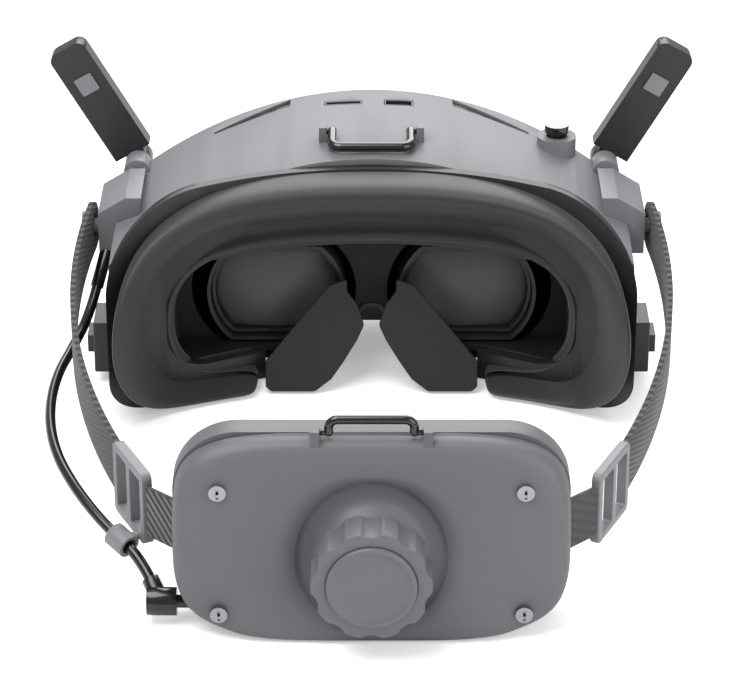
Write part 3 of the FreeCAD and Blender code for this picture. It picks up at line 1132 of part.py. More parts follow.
shaft = rod("shaft", "Y", "$dial_shaft", f"{RING_REAR} + 1.2", "$pack_split_y", "0", "$dial_z")
node(joined("dial_pinion_piece", pinion, shaft), "dial_pinion")

RACK_START = "-$tooth_module * pi * 3"
rack_body = doc.addObject("PartDesign::Body", "rack_body")
bar_sketch = sketch_on(rack_body, "XZ", "bar_outline", f"-({GEAR_FRONT})")
add_loop(bar_sketch, rectangle(RACK_START, RACK_START + " + $rack_long", f"-({DEDENDUM}) - $rack_high",
                               f"-({DEDENDUM})"))
bar_pad = rack_body.newObject("PartDesign::Pad", "bar_pad")
bar_pad.Profile = bar_sketch
bar_pad.setExpression("Length", expr("$gear_thick"))
first_tooth = rack_body.newObject("Sketcher::SketchObject", "first_tooth")
first_tooth.AttachmentSupport = [(plane_of(rack_body, "XZ_Plane"), "")]
first_tooth.MapMode = "FlatFace"
first_tooth.setExpression("AttachmentOffset.Base.z", expr(f"-({GEAR_FRONT})"))
add_loop(first_tooth, [(f"{across} - {PITCH} * 2.5", up) for across, up in tooth("0", f"({DEDENDUM} + 0.3)")])
rack_tooth = rack_body.newObject("PartDesign::Pad", "rack_tooth")
rack_tooth.Profile = first_tooth
rack_tooth.setExpression("Length", expr("$gear_thick"))
doc.recompute()
rack_row = rack_body.newObject("PartDesign::LinearPattern", "rack_row")
rack_row.Originals = [rack_tooth]
rack_row.Direction = (first_tooth, ["H_Axis"])
rack_row.setExpression("Length", expr(f"{PITCH} * 11"))
rack_row.Occurrences = 12
rack_body.Tip = rack_row
place(rack_body, "0", "0", f"$dial_z - ({PITCH_RADIUS})")
node(rack_body, "rack_right")
doc.recompute()


def turned_half(name, source):
    """A copy of a rack turned half round the dial's axis."""
    copy = source.Shape.copy()
    copy.rotate(Vector(0, 0, size("dial_z")), Y_AXIS, 180)
    return feature(name, copy)


node(turned_half("rack_copy", rack_body), "rack_left")

# ---------------------------------------------------------------- power cable
left_anchor = mirrored("anchor_copy", anchor_right)
plug_end = Vector(size("plug_x"), size("plug_y"), size("plug_z"))
plug_lean = math.radians(size("plug_lean"))
plug_splay = math.radians(size("plug_splay"))
PLUG_AXIS = Vector(math.sin(plug_splay), math.cos(plug_splay) * math.sin(plug_lean),
                   math.cos(plug_splay) * math.cos(plug_lean))
plug_body = Part.makeCylinder(size("plug_radius"), size("plug_long"), plug_end, PLUG_AXIS)
plug_tip = Part.makeCylinder(size("plug_radius") * 0.6, size("plug_long") + 3, plug_end, PLUG_AXIS)
plug_well = Part.makeCylinder(size("plug_radius") + size("seat_gap"), size("plug_long") + 3.2, plug_end,
        PLUG_AXIS)
node(cut("anchor_left_piece", left_anchor, feature("plug_well", plug_well)), "strap_anchor_left")
node(feature("plug", plug_body.fuse(plug_tip)), "cable_plug")
elbow_barrel = rod("elbow_barrel", "X", "$elbow_radius", "$elbow_x", "$elbow_x + $elbow_long", "$elbow_y",
        "$elbow_z")
elbow_pin = rod("elbow_pin", "X", "$elbow_pin_radius", "$elbow_x + $elbow_long - 1",
                "$elbow_x + $elbow_long + $elbow_pin_long", "$elbow_y", "$elbow_z")
elbow_middle = Vector(size("elbow_x") + size("elbow_radius"), size("elbow_y"), size("elbow_z"))
ROUTE = [
    plug_end,
    plug_end - PLUG_AXIS * size("plug_run"),
    Vector(-94.8, 29.0, 27.5),
    Vector(-98.4, 7.0, 28.0),
    Vector(-98.6, -16.0, 27.0),
    Vector(-94.9, -37.0, 25.5),
    Vector(-87.5, -54.0, 22.5),
    Vector(-77.5, -68.5, 18.0),
    Vector(-67.5, -78.5, 14.5),
]
stub_run = (ROUTE[-1] - elbow_middle).normalize()
stub_end = elbow_middle + stub_run * size("stub_reach")
ROUTE.append(stub_end)
elbow_stub = feature("elbow_stub", Part.makeCylinder(size("cable_radius") + 0.9, size("stub_reach"),
        elbow_middle,
                                                     stub_run))
node(joined("elbow", elbow_barrel, elbow_stub, elbow_pin), "cable_elbow")


def cord_path(points):
    """Straight runs joined by tangent arcs as large as the shorter run beside each point allows."""
    edges = []
    last = points[0]
    for before, here, after in zip(points, points[1:], points[2:]):
        into, out = (here - before), (after - here)
        half_turn = into.getAngle(out) / 2
        trim = 0.45 * min(into.Length, out.Length)
        into.normalize()
        out.normalize()
        start, end = here - into * trim, here + out * trim
        radius = trim / math.tan(half_turn)
        towards = (out - into).normalize()
        middle = here + towards * (radius / math.cos(half_turn) - radius)
        edges += [Part.LineSegment(last, start).toShape(), Part.Arc(start, middle, end).toShape()]
        print(f"cable bend radius {radius:.1f}, {radius / (2 * size('cable_radius')):.1f} diameters")
        last = end
    edges.append(Part.LineSegment(last, points[-1]).toShape())
    return Part.Wire(edges)


path = cord_path(ROUTE)
first_run = (ROUTE[1] - ROUTE[0]).normalize()
cable_section = Part.Wire(Part.makeCircle(size("cable_radius"), ROUTE[0], first_run))
cable = path.makePipeShell([cable_section], True, False)
expected = math.pi * size("cable_radius") ** 2 * path.Length
print(f"cable length {path.Length:.1f} mm, volume {cable.Volume:.0f} of {expected:.0f}")
if abs(cable.Volume / expected - 1) > 0.02:
    raise RuntimeError("the cable's tube has the wrong volume")
node(feature("cable_tube", cable), "cable")

# ---------------------------------------------------------------- left buckle with the cable's clip
clip_run = (ROUTE[8] - ROUTE[7]).normalize()
clip_middle = (ROUTE[7] + ROUTE[8]) / 2
clip_half = clip_run * (size("clip_long") / 2)
clip_sleeve = Part.makeCylinder(size("clip_radius"), size("clip_long"), clip_middle - clip_half, clip_run)
clip_bore = Part.makeCylinder(size("cable_radius") + size("clip_play"), size("clip_long") + 4,
                              clip_middle - clip_half - clip_run * 2, clip_run)
rail_turn = math.radians(size("buckle_turn"))
rail_place = Vector(-size("buckle_x") + 7 * math.cos(rail_turn), size("buckle_y") - 7 * math.sin(rail_turn),
                    size("buckle_z") - (size("buckle_high") - size("buckle_rail")) / 2)
clip_arm_run = clip_middle - rail_place
clip_arm = Part.makeCylinder(size("buckle_rail") / 2, clip_arm_run.Length, rail_place, clip_arm_run)
clip = feature("clip", clip_sleeve.fuse(clip_arm).cut(clip_bore))
node(joined("buckle_left_piece", mirrored("buckle_copy", buckle_right), clip), "buckle_left")

# ---------------------------------------------------------------- check and write
doc.recompute()
for piece in doc.Objects:
    if "Invalid" in piece.State or "Error" in piece.State:
        raise RuntimeError(f"{piece.Name} ({piece.Label}) failed: {piece.State}")
os.makedirs("parts", exist_ok=True)
for piece in nodes:
    if piece.Shape.isNull() or not piece.Shape.isValid() or not piece.Shape.Solids:
        raise RuntimeError(f"{piece.Label} has no valid solid")
    piece.Shape.exportStep(f"parts/{piece.Label}.step")
    print(f"{piece.Label}: {len(piece.Shape.Solids)} solid, {piece.Shape.Volume / 1000:.2f} cm3")
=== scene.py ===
# %% [markdown]
# # Video goggles with a rear battery pack
# The goggles are two moulded shells with a soft leather pad on the face side.
# Two straps run back to a pack that sits behind the head, and a cable feeds the goggles from it.
# Most rigid pieces keep the shape they have in the frame, with their edges rounded here.
# The pad, the cushion, the cable, the pack's rear case, the ears of its loop, the dial's cap
# and the case's screws are built here.

# %% Load the frame
import bmesh
import bpy
import math
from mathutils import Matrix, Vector


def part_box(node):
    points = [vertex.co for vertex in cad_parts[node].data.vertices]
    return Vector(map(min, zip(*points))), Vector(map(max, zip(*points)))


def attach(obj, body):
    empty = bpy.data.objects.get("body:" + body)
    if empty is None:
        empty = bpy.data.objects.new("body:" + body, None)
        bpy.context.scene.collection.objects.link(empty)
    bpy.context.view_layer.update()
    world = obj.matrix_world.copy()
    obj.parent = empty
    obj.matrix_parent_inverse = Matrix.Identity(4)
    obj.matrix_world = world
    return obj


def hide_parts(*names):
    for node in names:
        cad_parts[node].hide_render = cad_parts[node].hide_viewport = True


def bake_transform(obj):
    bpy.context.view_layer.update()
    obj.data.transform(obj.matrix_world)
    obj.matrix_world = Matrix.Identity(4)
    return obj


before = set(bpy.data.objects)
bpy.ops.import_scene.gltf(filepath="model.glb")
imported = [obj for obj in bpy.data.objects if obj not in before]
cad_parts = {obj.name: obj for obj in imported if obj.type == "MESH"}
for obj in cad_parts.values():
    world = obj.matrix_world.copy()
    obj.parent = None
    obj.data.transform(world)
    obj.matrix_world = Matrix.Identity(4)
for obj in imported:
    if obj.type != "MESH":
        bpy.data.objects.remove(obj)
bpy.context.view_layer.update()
MM = 0.001
print("nodes loaded:", len(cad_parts))

# %% [markdown]
# ## Helpers
# Colours are written as sRGB hex and turned to linear values in one place.
# Each piece built here, but for the ears, screws and cable, is a stack of closed sections that
# one function skins.

# %% Helpers
def srgb(code):
    """An sRGB hex code as linear red, green, blue and alpha."""
    parts = [int(code[i:i + 2], 16) / 255 for i in (1, 3, 5)]
    linear = [c / 12.92 if c <= 0.04045 else ((c + 0.055) / 1.055) ** 2.4 for c in parts]
    return (*linear, 1.0)


def add_node(tree, kind, settings=None, links=None):
    """Adds a shader node, sets its inputs or properties, and joins the sockets given in links."""
    made = tree.nodes.new(kind)
    for key, value in (settings or {}).items():
        if isinstance(key, int) or key in made.inputs:
            made.inputs[key].default_value = value
        else:
            setattr(made, key, value)
    for key, socket in (links or {}).items():
        tree.links.new(socket, made.inputs[key])
    return made


def material(name, colour, rough, metal=0.0, coat=0.0, sheen=0.0, grain=None, depth=0.0, spread=0.0):
    """A Principled finish. grain is the size in mm of its texture, depth how far it stands out in mm."""
    made = bpy.data.materials.new(name)
    made.use_nodes = True
    tree = made.node_tree
    shader = tree.nodes["Principled BSDF"]
    shader.inputs["Base Color"].default_value = srgb(colour)
    shader.inputs["Roughness"].default_value = rough
    shader.inputs["Metallic"].default_value = metal
    shader.inputs["Coat Weight"].default_value = coat
    shader.inputs["Sheen Weight"].default_value = sheen
    made.diffuse_color = srgb(colour)
    if grain:
        place = add_node(tree, "ShaderNodeTexCoord")
        noise = add_node(tree, "ShaderNodeTexNoise", {"Scale": 1 / (grain * MM), "Detail": 3.0},
                         {"Vector": place.outputs["Object"]})
        bump = add_node(tree, "ShaderNodeBump", {"Strength": 0.6, "Distance": depth * MM},
                        {"Height": noise.outputs["Fac"]})
        tree.links.new(bump.outputs["Normal"], shader.inputs["Normal"])
        if spread:
            ramp = add_node(tree, "ShaderNodeMapRange", {"To Min": rough - spread, "To Max": rough + spread},
                            {"Value": noise.outputs["Fac"]})
            tree.links.new(ramp.outputs["Result"], shader.inputs["Roughness"])
    return made


def mesh_object(name, points, faces, finish, smooth=True):
    """A mesh object at the origin, from points in mm."""
    mesh = bpy.data.meshes.new(name)
    mesh.from_pydata([[c * MM for c in p] for p in points], [], faces)
    mesh.validate()
    mesh.materials.append(finish)
    for face in mesh.polygons:
        face.use_smooth = smooth
    made = bpy.data.objects.new(name, mesh)
    bpy.context.scene.collection.objects.link(made)
    return made


def outward(piece):
    """Turns every face of the piece outward."""
    work = bmesh.new()
    work.from_mesh(piece.data)
    bmesh.ops.recalc_face_normals(work, faces=work.faces)
    work.to_mesh(piece.data)
    work.free()


def loft(name, rows, finish):
    """Skins closed sections, one row of points each, and closes both ends."""
    n = len(rows[0])
    points = [p for row in rows for p in row]
    faces = [(r * n + i, r * n + (i + 1) % n, (r + 1) * n + (i + 1) % n, (r + 1) * n + i)
             for r in range(len(rows) - 1) for i in range(n)]
    faces.append(tuple(range(n))[::-1])
    faces.append(tuple((len(rows) - 1) * n + i for i in range(n)))
    made = mesh_object(name, points, faces, finish)
    outward(made)
    return made


def subdivide(piece, levels):
    """Rounds a coarse mesh by subdivision, the same in the view and in the render."""
    step = piece.modifiers.new("round", "SUBSURF")
    step.levels = levels
    step.render_levels = levels


def soften(node, finish, width=0.35, segments=2):
    """Gives a node of the frame its finish and rounds its edges as a mould or a cutter leaves them."""
    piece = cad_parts[node]
    piece.data.materials.clear()
    piece.data.materials.append(finish)
    if width:
        weld = piece.modifiers.new("weld", "WELD")
        weld.merge_threshold = 0.00001
        edge = piece.modifiers.new("edge", "BEVEL")
        edge.width = width * MM
        edge.segments = segments
        edge.limit_method = "ANGLE"
        edge.angle_limit = math.radians(32)
        edge.harden_normals = True


print("helpers ready")

# %% [markdown]
# ## Finishes
# Each finish is named for the real material. The grain sizes are those of a spark-eroded mould.

# %% Finishes
SHELL = material("moulded ABS, shell grey", "#6C6D70", 0.5, grain=0.35, depth=0.02, spread=0.05)
PACK = material("moulded ABS, pack grey", "#5E5F62", 0.5, grain=0.35, depth=0.02, spread=0.05)
DIAL = material("moulded ABS, dial grey", "#626366", 0.42, grain=0.4, depth=0.012)
HINGE = material("moulded nylon, hinge grey", "#77787B", 0.48, grain=0.4, depth=0.015)
BLACK = material("moulded ABS, satin black", "#1E1E20", 0.42, grain=0.4, depth=0.015, spread=0.04)
ANTENNA = material("moulded ABS, fine satin black", "#1B1B1D", 0.36, grain=0.5, depth=0.01)
GLOSS = material("polycarbonate, gloss black", "#0C0C0D", 0.14, coat=0.5)
MASK = material("moulded ABS, matte black", "#111112", 0.75, grain=0.3, depth=0.02)
LEATHER = material("polyurethane leather", "#2B2928", 0.55, sheen=0.15, grain=0.7, depth=0.07, spread=0.07)
RUBBER = material("silicone rubber, matte black", "#1A1A1B", 0.68, grain=0.5, depth=0.012)
CABLE = material("PVC cable sheath, black", "#0D0D0E", 0.22, coat=0.2)
STEEL = material("machined steel", "#9A9B9E", 0.3, metal=1.0, grain=0.2, depth=0.005)
PORT = material("stamped steel, port frame", "#55565A", 0.4, metal=0.8)
LENS = material("coated lens glass", "#4A4B4E", 0.42)
DISPLAY = material("display glass", "#15151C", 0.12)
BOARD = material("glass epoxy board, solder mask", "#10502F", 0.45)
CELL = material("PVC shrink film", "#3A4468", 0.35)
GEAR = material("moulded acetal, white", "#D8D8D2", 0.4)
PADDING = material("knitted spacer cloth", "#232324", 0.85, sheen=0.3, grain=0.9, depth=0.12)


def ribbed(name, colour, pitch, direction):
    """Woven webbing with ribs of the given pitch in mm across the direction."""
    made = material(name, colour, 0.82, sheen=0.25)
    tree = made.node_tree
    shader = tree.nodes["Principled BSDF"]
    place = add_node(tree, "ShaderNodeTexCoord")
    along = add_node(tree, "ShaderNodeVectorMath", {"operation": "DOT_PRODUCT"},
                     {0: place.outputs["Object"]})
    along.inputs[1].default_value = direction
    turn = add_node(tree, "ShaderNodeMath", {"operation": "MULTIPLY", 1: 2 * math.pi / (pitch * MM)},
                    {0: along.outputs["Value"]})
    wave = add_node(tree, "ShaderNodeMath", {"operation": "SINE"}, {0: turn.outputs["Value"]})
    bump = add_node(tree, "ShaderNodeBump", {"Strength": 0.9, "Distance": 0.25 * MM},
                    {"Height": wave.outputs["Value"]})
    tree.links.new(bump.outputs["Normal"], shader.inputs["Normal"])
    return made


STRAP = ribbed("woven nylon webbing, dark grey", "#333436", 1.6, (0.0, 0.35, 0.94))
WEBBING = ribbed("woven nylon webbing, black", "#202022", 2.2, (0.71, 0.0, 0.71))


def meshed():
    """Black steel sheet with a grid of fine holes, painted as near-black spots of painted shade and the black
    parts behind, on a lighter grey sheet.
    """
    made = material("perforated steel sheet, black", "#2A2A2C", 0.4, metal=0.6)
    tree = made.node_tree
    shader = tree.nodes["Principled BSDF"]
    place = add_node(tree, "ShaderNodeTexCoord")
    cells = add_node(tree, "ShaderNodeTexVoronoi", {"Scale": 900.0, "Randomness": 0.0},
                     {"Vector": place.outputs["Object"]})
    hole_shade_mask = add_node(tree, "ShaderNodeMath", {"operation": "GREATER_THAN", 1: 0.36},
                    {0: cells.outputs["Distance"]})
    # The holes are painted near black: partly the black parts behind them, partly painted shade inside them.
    mix = add_node(tree, "ShaderNodeMix", {"data_type": "RGBA"}, {"Factor": hole_shade_mask.outputs["Value"]})
    mix.inputs[6].default_value = srgb("#050505")
    mix.inputs[7].default_value = srgb("#4A4A4D")
    tree.links.new(mix.outputs[2], shader.inputs["Base Color"])
    return made


GRILLE = meshed()
print("finishes made:", len(bpy.data.materials))

# %% [markdown]
# ## Rigid pieces
# The mouldings keep their frame shape. Each gets its finish and the edge radius of its process.

# %% Rigid pieces
FINISH = {
    "top_shell": (SHELL, 0.8), "bottom_shell": (BLACK, 0.6), "front_cover": (GLOSS, 0.6),
    "face_frame": (BLACK, 0.5), "nose_flaps": (RUBBER, 0.5), "lens_mask": (MASK, 0.3),
    "vent_grilles": (GRILLE, 0), "port_frames": (PORT, 0.15), "housing_screws": (STEEL, 0.1),
    "eyepiece_rails": (STEEL, 0.1), "main_board": (BOARD, 0), "fan_housing": (BLACK, 0.2),
    "fan_rotor": (BLACK, 0), "antenna_bracket_left": (HINGE, 0.5), "antenna_bracket_right": (HINGE, 0.5),
    "antenna_pins": (STEEL, 0.1), "strap_anchor_left": (HINGE, 0.6), "strap_anchor_right": (HINGE, 0.6),
    "side_latch_left": (BLACK, 0.6), "side_latch_right": (BLACK, 0.6), "cable_plug": (CABLE, 0.4),
    "eyepiece_barrel_left": (BLACK, 0.3), "eyepiece_barrel_right": (BLACK, 0.3),
    "display_left": (DISPLAY, 0), "display_right": (DISPLAY, 0),
    "lens_cell_left": (BLACK, 0.25), "lens_cell_right": (BLACK, 0.25),
    "lens_left": (LENS, 0.2), "lens_right": (LENS, 0.2),
    "focus_knob_left": (BLACK, 0.3), "focus_knob_right": (BLACK, 0.3),
    "antenna_arm_left": (ANTENNA, 1.0), "antenna_arm_right": (ANTENNA, 1.0),
    "antenna_cap_left": (HINGE, 0.25), "antenna_cap_right": (HINGE, 0.25),
    "top_bail": (GLOSS, 0.5), "stick_gimbal": (BLACK, 0), "stick_stem": (STEEL, 0), "stick_cap": (GLOSS, 0.4),
    "latch_tab_left": (BLACK, 0.4), "latch_tab_right": (BLACK, 0.4),
    "strap_left": (STRAP, 0.4), "strap_right": (STRAP, 0.4),
    "buckle_left": (HINGE, 0.6), "buckle_right": (HINGE, 0.6), "pack_webbing": (WEBBING, 0.4),
    "pack_cover": (PACK, 1.4), "pack_base": (PACK, 0.8), "battery_cells": (CELL, 0.3),
    "pack_screws": (STEEL, 0.15), "cable_elbow": (CABLE, 0.5), "pack_bail": (GLOSS, 0.5),
    "dial_knob": (DIAL, 0.7), "dial_cap": (DIAL, 0.6), "dial_pinion": (GEAR, 0),
    "rack_left": (GEAR, 0), "rack_right": (GEAR, 0),
}
for name, (finish, width) in FINISH.items():
    soften(name, finish, width, 3 if width >= 0.6 else 2)
print("rigid pieces finished:", len(FINISH))

# %% [markdown]
# ## Face pad
# The pad is foam under a thin leather-like cover, stitched to a frame. It follows a head's curve,
# with a full outer roll, a trough that falls toward the eyes and a thin inner lip.

# %% Face pad
OUTER = [(0, 73.6), (16, 73.5), (31, 73.0), (46, 71.6), (59, 68.6), (70, 63.0), (77, 54.5), (81, 43.0),
         (81.8, 30.0), (80.2, 17.0), (76, 7.5), (69.5, 2.2), (61, 0.9), (51, 0.7), (43, 0.8), (37, 1.0)]
INNER = [(0, 50.5), (13, 50.4), (25, 50.2), (36, 49.8), (46, 48.8), (54, 46.6), (60, 42.6), (63.5, 36.5),
         (64.5, 29.0), (64.0, 21.0), (61.5, 14.0), (57.5, 9.5), (52.5, 7.4), (47, 6.6),
         (41.5, 6.3), (37, 6.3)]
SECTION = [(0.02, 17.0), (-0.01, 9.0), (0.0, 3.5), (0.06, 0.6), (0.16, 0.0), (0.28, 1.6), (0.42, 7.0),
           (0.62, 13.0), (0.80, 14.0), (0.89, 10.4), (0.96, 9.6), (1.02, 11.0), (1.03, 15.0),
           (0.9, 18.0), (0.5, 19.0), (0.15, 18.5)]


# The head's surface: its half width, how far forward it is in the middle, and how far it falls back.
HEAD_HALF, HEAD_FRONT, HEAD_FALL, HEAD_ROUND = 82.5, 48.0, 47.0, 2.3
# The pad stays between these depths and above this height.
PAD_REAR, PAD_FRONT, PAD_LOW = -0.3, 65.5, 0.2


def head_line(x):
    """How far forward the head's surface is at a distance x from the middle, in mm."""
    share = min(abs(x) / HEAD_HALF, 1.0)
    return HEAD_FRONT - HEAD_FALL * (1 - (1 - share ** HEAD_ROUND) ** (1 / HEAD_ROUND))


rows = []
stations = [(-x, z, -u, w) for (x, z), (u, w) in zip(OUTER, INNER)][:0:-1]
stations += [(x, z, u, w) for (x, z), (u, w) in zip(OUTER, INNER)]
for k, (ox, oz, ix, iz) in enumerate(stations):
    row = []
    end = min(k, len(stations) - 1 - k)
    for share, fall in SECTION:
        x = ox + (ix - ox) * share
        z = oz + (iz - oz) * share
        wave = 0.25 * math.sin(k * 2.1 + share * 5) + 0.15 * math.sin(k * 3.7)
        shrink = 0.75 if end == 0 else 1.0
        y = head_line(x) + fall * shrink + (wave if 0 < share < 1 else 0)
        row.append((x, min(max(y, PAD_REAR), PAD_FRONT), max(z, PAD_LOW)))
    rows.append(row)
pad = loft("face_pad_cover", rows, LEATHER)
subdivide(pad, 2)
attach(pad, "goggles")
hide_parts("face_pad")
print("face pad sections:", len(rows))

# %% [markdown]
# ## Pack cushion
# A thin cushion of knitted spacer cloth over foam, held to the inner face of the rear pack.

# %% Pack cushion
low, high = (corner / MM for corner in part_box("pack_cushion"))
rows = []
DEPTHS = [(0.0, 0.86), (0.25, 0.97), (0.55, 1.0), (0.85, 0.95), (1.0, 0.8)]
for share, size in DEPTHS:
    y = low.y + (high.y - low.y) * share
    half_x = (high.x - low.x) / 2 * size
    half_z = (high.z - low.z) / 2 * size
    mid_z = (high.z + low.z) / 2
    rows.append([(half_x * math.copysign(abs(math.cos(a)) ** 0.45, math.cos(a)), y,
                  mid_z + half_z * math.copysign(abs(math.sin(a)) ** 0.45, math.sin(a)))
                 for a in [2 * math.pi * i / 32 for i in range(32)]])
cushion = loft("pack_cushion_cloth", rows, PADDING)
subdivide(cushion, 1)
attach(cushion, "headband")
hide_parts("pack_cushion")
print("cushion sections:", len(rows))

# %% [markdown]
# ## Rear case
# The pack's rear case is one injection moulding. Its rear face is slightly crowned, so that it doesn't
# look sunken, with a round dish for fingers round the dial and two scoops at the lower screws.

# %% Rear case
CASE_LOW, CASE_HIGH = (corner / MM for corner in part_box("pack_cover"))
CASE_HIGH.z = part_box("pack_base")[1].z / MM
DIAL_Z = 25.0
DISH = 21.8
HEAD = 2.5
screw_low, screw_high = (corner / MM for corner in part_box("pack_screws"))
SCREWS = [(screw_low.x + HEAD, screw_high.z - HEAD), (screw_high.x - HEAD, screw_high.z - HEAD),
          (screw_low.x + HEAD, screw_low.z + HEAD), (screw_high.x - HEAD, screw_low.z + HEAD)]
TURNS = 144
# The rear face moves this far forward for each mm it rises.
LEAN = 0.2353
SCOOP_REACH, SCOOP_DEEP = 11, 1.6


def leaning(y, z):
    """Depth y of the rear face at height z, because the face leans forward as it rises."""
    return min(y + LEAN * z, CASE_HIGH.y - 0.6)


def case_outline(angle):
    """The case's outline, a rounded rectangle, at an angle seen from its middle, in mm."""
    c, s = math.cos(angle), math.sin(angle)
    half_x = (CASE_HIGH.x - CASE_LOW.x) / 2
    half_z = (CASE_HIGH.z - CASE_LOW.z) / 2
    x = half_x * math.copysign(abs(c) ** 0.42, c)
    z = half_z * math.copysign(abs(s) ** 0.56, s)
    return x, (CASE_HIGH.z + CASE_LOW.z) / 2 + z


def case_ring(blend, y, size=1.0):
    """One ring of the case, between the dial's dish and the outline, at depth y in mm."""
    ring = []
    for i in range(TURNS):
        angle = 2 * math.pi * i / TURNS
        x, z = case_outline(angle)
        middle = (CASE_HIGH.z + CASE_LOW.z) / 2
        x, z = x * size, middle + (z - middle) * size
        cx, cz = DISH * math.cos(angle), DIAL_Z + DISH * math.sin(angle)
        px, pz = cx + (x - cx) * blend, cz + (z - cz) * blend
        scoop = 0.0
        for sx, sz in SCREWS[2:]:
            near = max(0.0, 1 - math.hypot(px - sx, pz - sz) / SCOOP_REACH)
            scoop = max(scoop, SCOOP_DEEP * near * near * (3 - 2 * near))
        if not 0.2 < blend < 0.99:
            scoop = 0.0
        depth = leaning(y + scoop, pz) if y < CASE_HIGH.y - 1 else y
        ring.append((px, depth, pz))
    return ring


def disc_ring(radius, y):
    """A round ring about the dial's axis."""
    angles = [2 * math.pi * i / TURNS for i in range(TURNS)]
    return [(radius * math.cos(a), y, DIAL_Z + radius * math.sin(a)) for a in angles]


rear = CASE_LOW.y
rings = [disc_ring(6, rear + 1.7), disc_ring(13.6, rear + 1.7), disc_ring(14.0, rear + 2.2)]
rings += [[(x, leaning(y, z), z) for x, y, z in disc_ring(radius, rear + deep)]
          for radius, deep in ((14.2, 1.7), (17.0, 1.7), (19.8, 1.6), (20.8, 1.2), (21.5, 0.5))]
rings += [case_ring(0.0, rear + 0.1), case_ring(0.15, rear), case_ring(0.35, rear + 0.1),
          case_ring(0.55, rear + 0.35),
          case_ring(0.7, rear + 0.7), case_ring(0.8, rear + 1.0), case_ring(0.88, rear + 1.5),
          case_ring(0.93, rear + 2.2), case_ring(0.965, rear + 3.2), case_ring(0.985, rear + 4.6),
          case_ring(0.997, rear + 6.5), case_ring(1.0, rear + 9.0), case_ring(1.0, CASE_HIGH.y - 0.3),
          case_ring(1.0, CASE_HIGH.y, 0.994), case_ring(1.0, CASE_HIGH.y, 0.965),
          case_ring(1.0, rear + 6.0, 0.955)]
case = loft("rear_case", rings, PACK)
ear_low, ear_high = (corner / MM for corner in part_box("pack_bail"))
EAR_WIDE, EAR_DEEP, EAR_TALL = 2.6, 5.4, 5.0
ear_points, ear_faces = [], []
for side in (-1, 1):
    first = len(ear_points)
    ear_points += [(side * (ear_high.x - 1.2 + dx * EAR_WIDE), ear_low.y - 1.6 + dy * EAR_DEEP,
                    CASE_HIGH.z - 2 + dz * EAR_TALL)
                   for dx in (0, 1) for dy in (0, 1) for dz in (0, 1)]
    ear_faces += [tuple(first + i for i in quad) for quad in
                  ((0, 1, 3, 2), (4, 6, 7, 5), (0, 4, 5, 1), (2, 3, 7, 6), (0, 2, 6, 4), (1, 5, 7, 3))]
ears = mesh_object("bail_ears", ear_points, ear_faces, PACK, smooth=False)
outward(ears)
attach(ears, "headband")
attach(case, "headband")
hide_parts("pack_cover")
print("rear case rings:", len(rings))

# %% [markdown]
# ## Dial cap
# The cap snaps into the dial. It is turned about the dial's axis, with a rolled rim and a dished face.

# %% Dial cap
cap_low, cap_high = (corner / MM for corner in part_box("dial_cap"))
rim = (cap_high.x - cap_low.x) / 2
CAP = [(rim - 0.5, cap_high.y), (rim, cap_high.y - 0.5), (rim, cap_low.y + 0.9),
       (rim - 0.25, cap_low.y + 0.3),
       (rim - 0.8, cap_low.y), (rim - 1.5, cap_low.y + 0.25), (rim - 2.0, cap_low.y + 0.7),
       (rim - 3.2, cap_low.y + 1.0), (rim - 7, cap_low.y + 1.25), (1.0, cap_low.y + 1.35)]
rings = [disc_ring(radius, y) for radius, y in CAP]
cap = loft("dial_cap_turned", rings, DIAL)
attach(cap, "dial")
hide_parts("dial_cap")
print("dial cap rings:", len(rings))

# %% [markdown]
# ## Screws
# Four equal flat-head screws hold the case. One head is placed on four points by Geometry Nodes.

# %% Screws
group = bpy.data.node_groups.new("screw heads", "GeometryNodeTree")
for label, kind, value in (("Geometry", "NodeSocketGeometry", None), ("Radius", "NodeSocketFloat", 0.0025),
                           ("Height", "NodeSocketFloat", 0.0012), ("Slot width", "NodeSocketFloat", 0.0008)):
    socket = group.interface.new_socket(label, in_out="INPUT", socket_type=kind)
    if value is not None:
        socket.default_value = value
group.interface.new_socket("Geometry", in_out="OUTPUT", socket_type="NodeSocketGeometry")
source = add_node(group, "NodeGroupInput")
head = add_node(group, "GeometryNodeMeshCylinder", {"Vertices": 40},
                {"Radius": source.outputs["Radius"], "Depth": source.outputs["Height"]})
RECESS_LONG, RECESS_DEEP = 3.6 * MM, 0.9 * MM
width = add_node(group, "ShaderNodeCombineXYZ", {"Y": RECESS_LONG, "Z": RECESS_DEEP},
                 {"X": source.outputs["Slot width"]})
across = add_node(group, "ShaderNodeCombineXYZ", {"X": RECESS_LONG, "Z": RECESS_DEEP},
                  {"Y": source.outputs["Slot width"]})
bar = add_node(group, "GeometryNodeMeshCube", links={"Size": width.outputs["Vector"]})
other = add_node(group, "GeometryNodeMeshCube", links={"Size": across.outputs["Vector"]})
lift = add_node(group, "ShaderNodeCombineXYZ", links={"Z": source.outputs["Height"]})
half = add_node(group, "ShaderNodeVectorMath", {"operation": "SCALE", "Scale": 0.5},
                {0: lift.outputs["Vector"]})
slots = add_node(group, "GeometryNodeJoinGeometry")
group.links.new(bar.outputs["Mesh"], slots.inputs["Geometry"])
group.links.new(other.outputs["Mesh"], slots.inputs["Geometry"])
raised = add_node(group, "GeometryNodeTransform", links={"Geometry": slots.outputs["Geometry"],
                                                       "Translation": half.outputs["Vector"]})
cut = add_node(group, "GeometryNodeMeshBoolean", {"operation": "DIFFERENCE"},
               {"Mesh 1": head.outputs["Mesh"]})
group.links.new(raised.outputs["Geometry"], cut.inputs["Mesh 2"])
turned = add_node(group, "GeometryNodeTransform", {"Rotation": (math.pi / 2, 0, 0)},
                  {"Geometry": cut.outputs["Mesh"]})
spots = add_node(group, "GeometryNodeInstanceOnPoints", links={"Points": source.outputs["Geometry"],
                                                              "Instance": turned.outputs["Geometry"]})
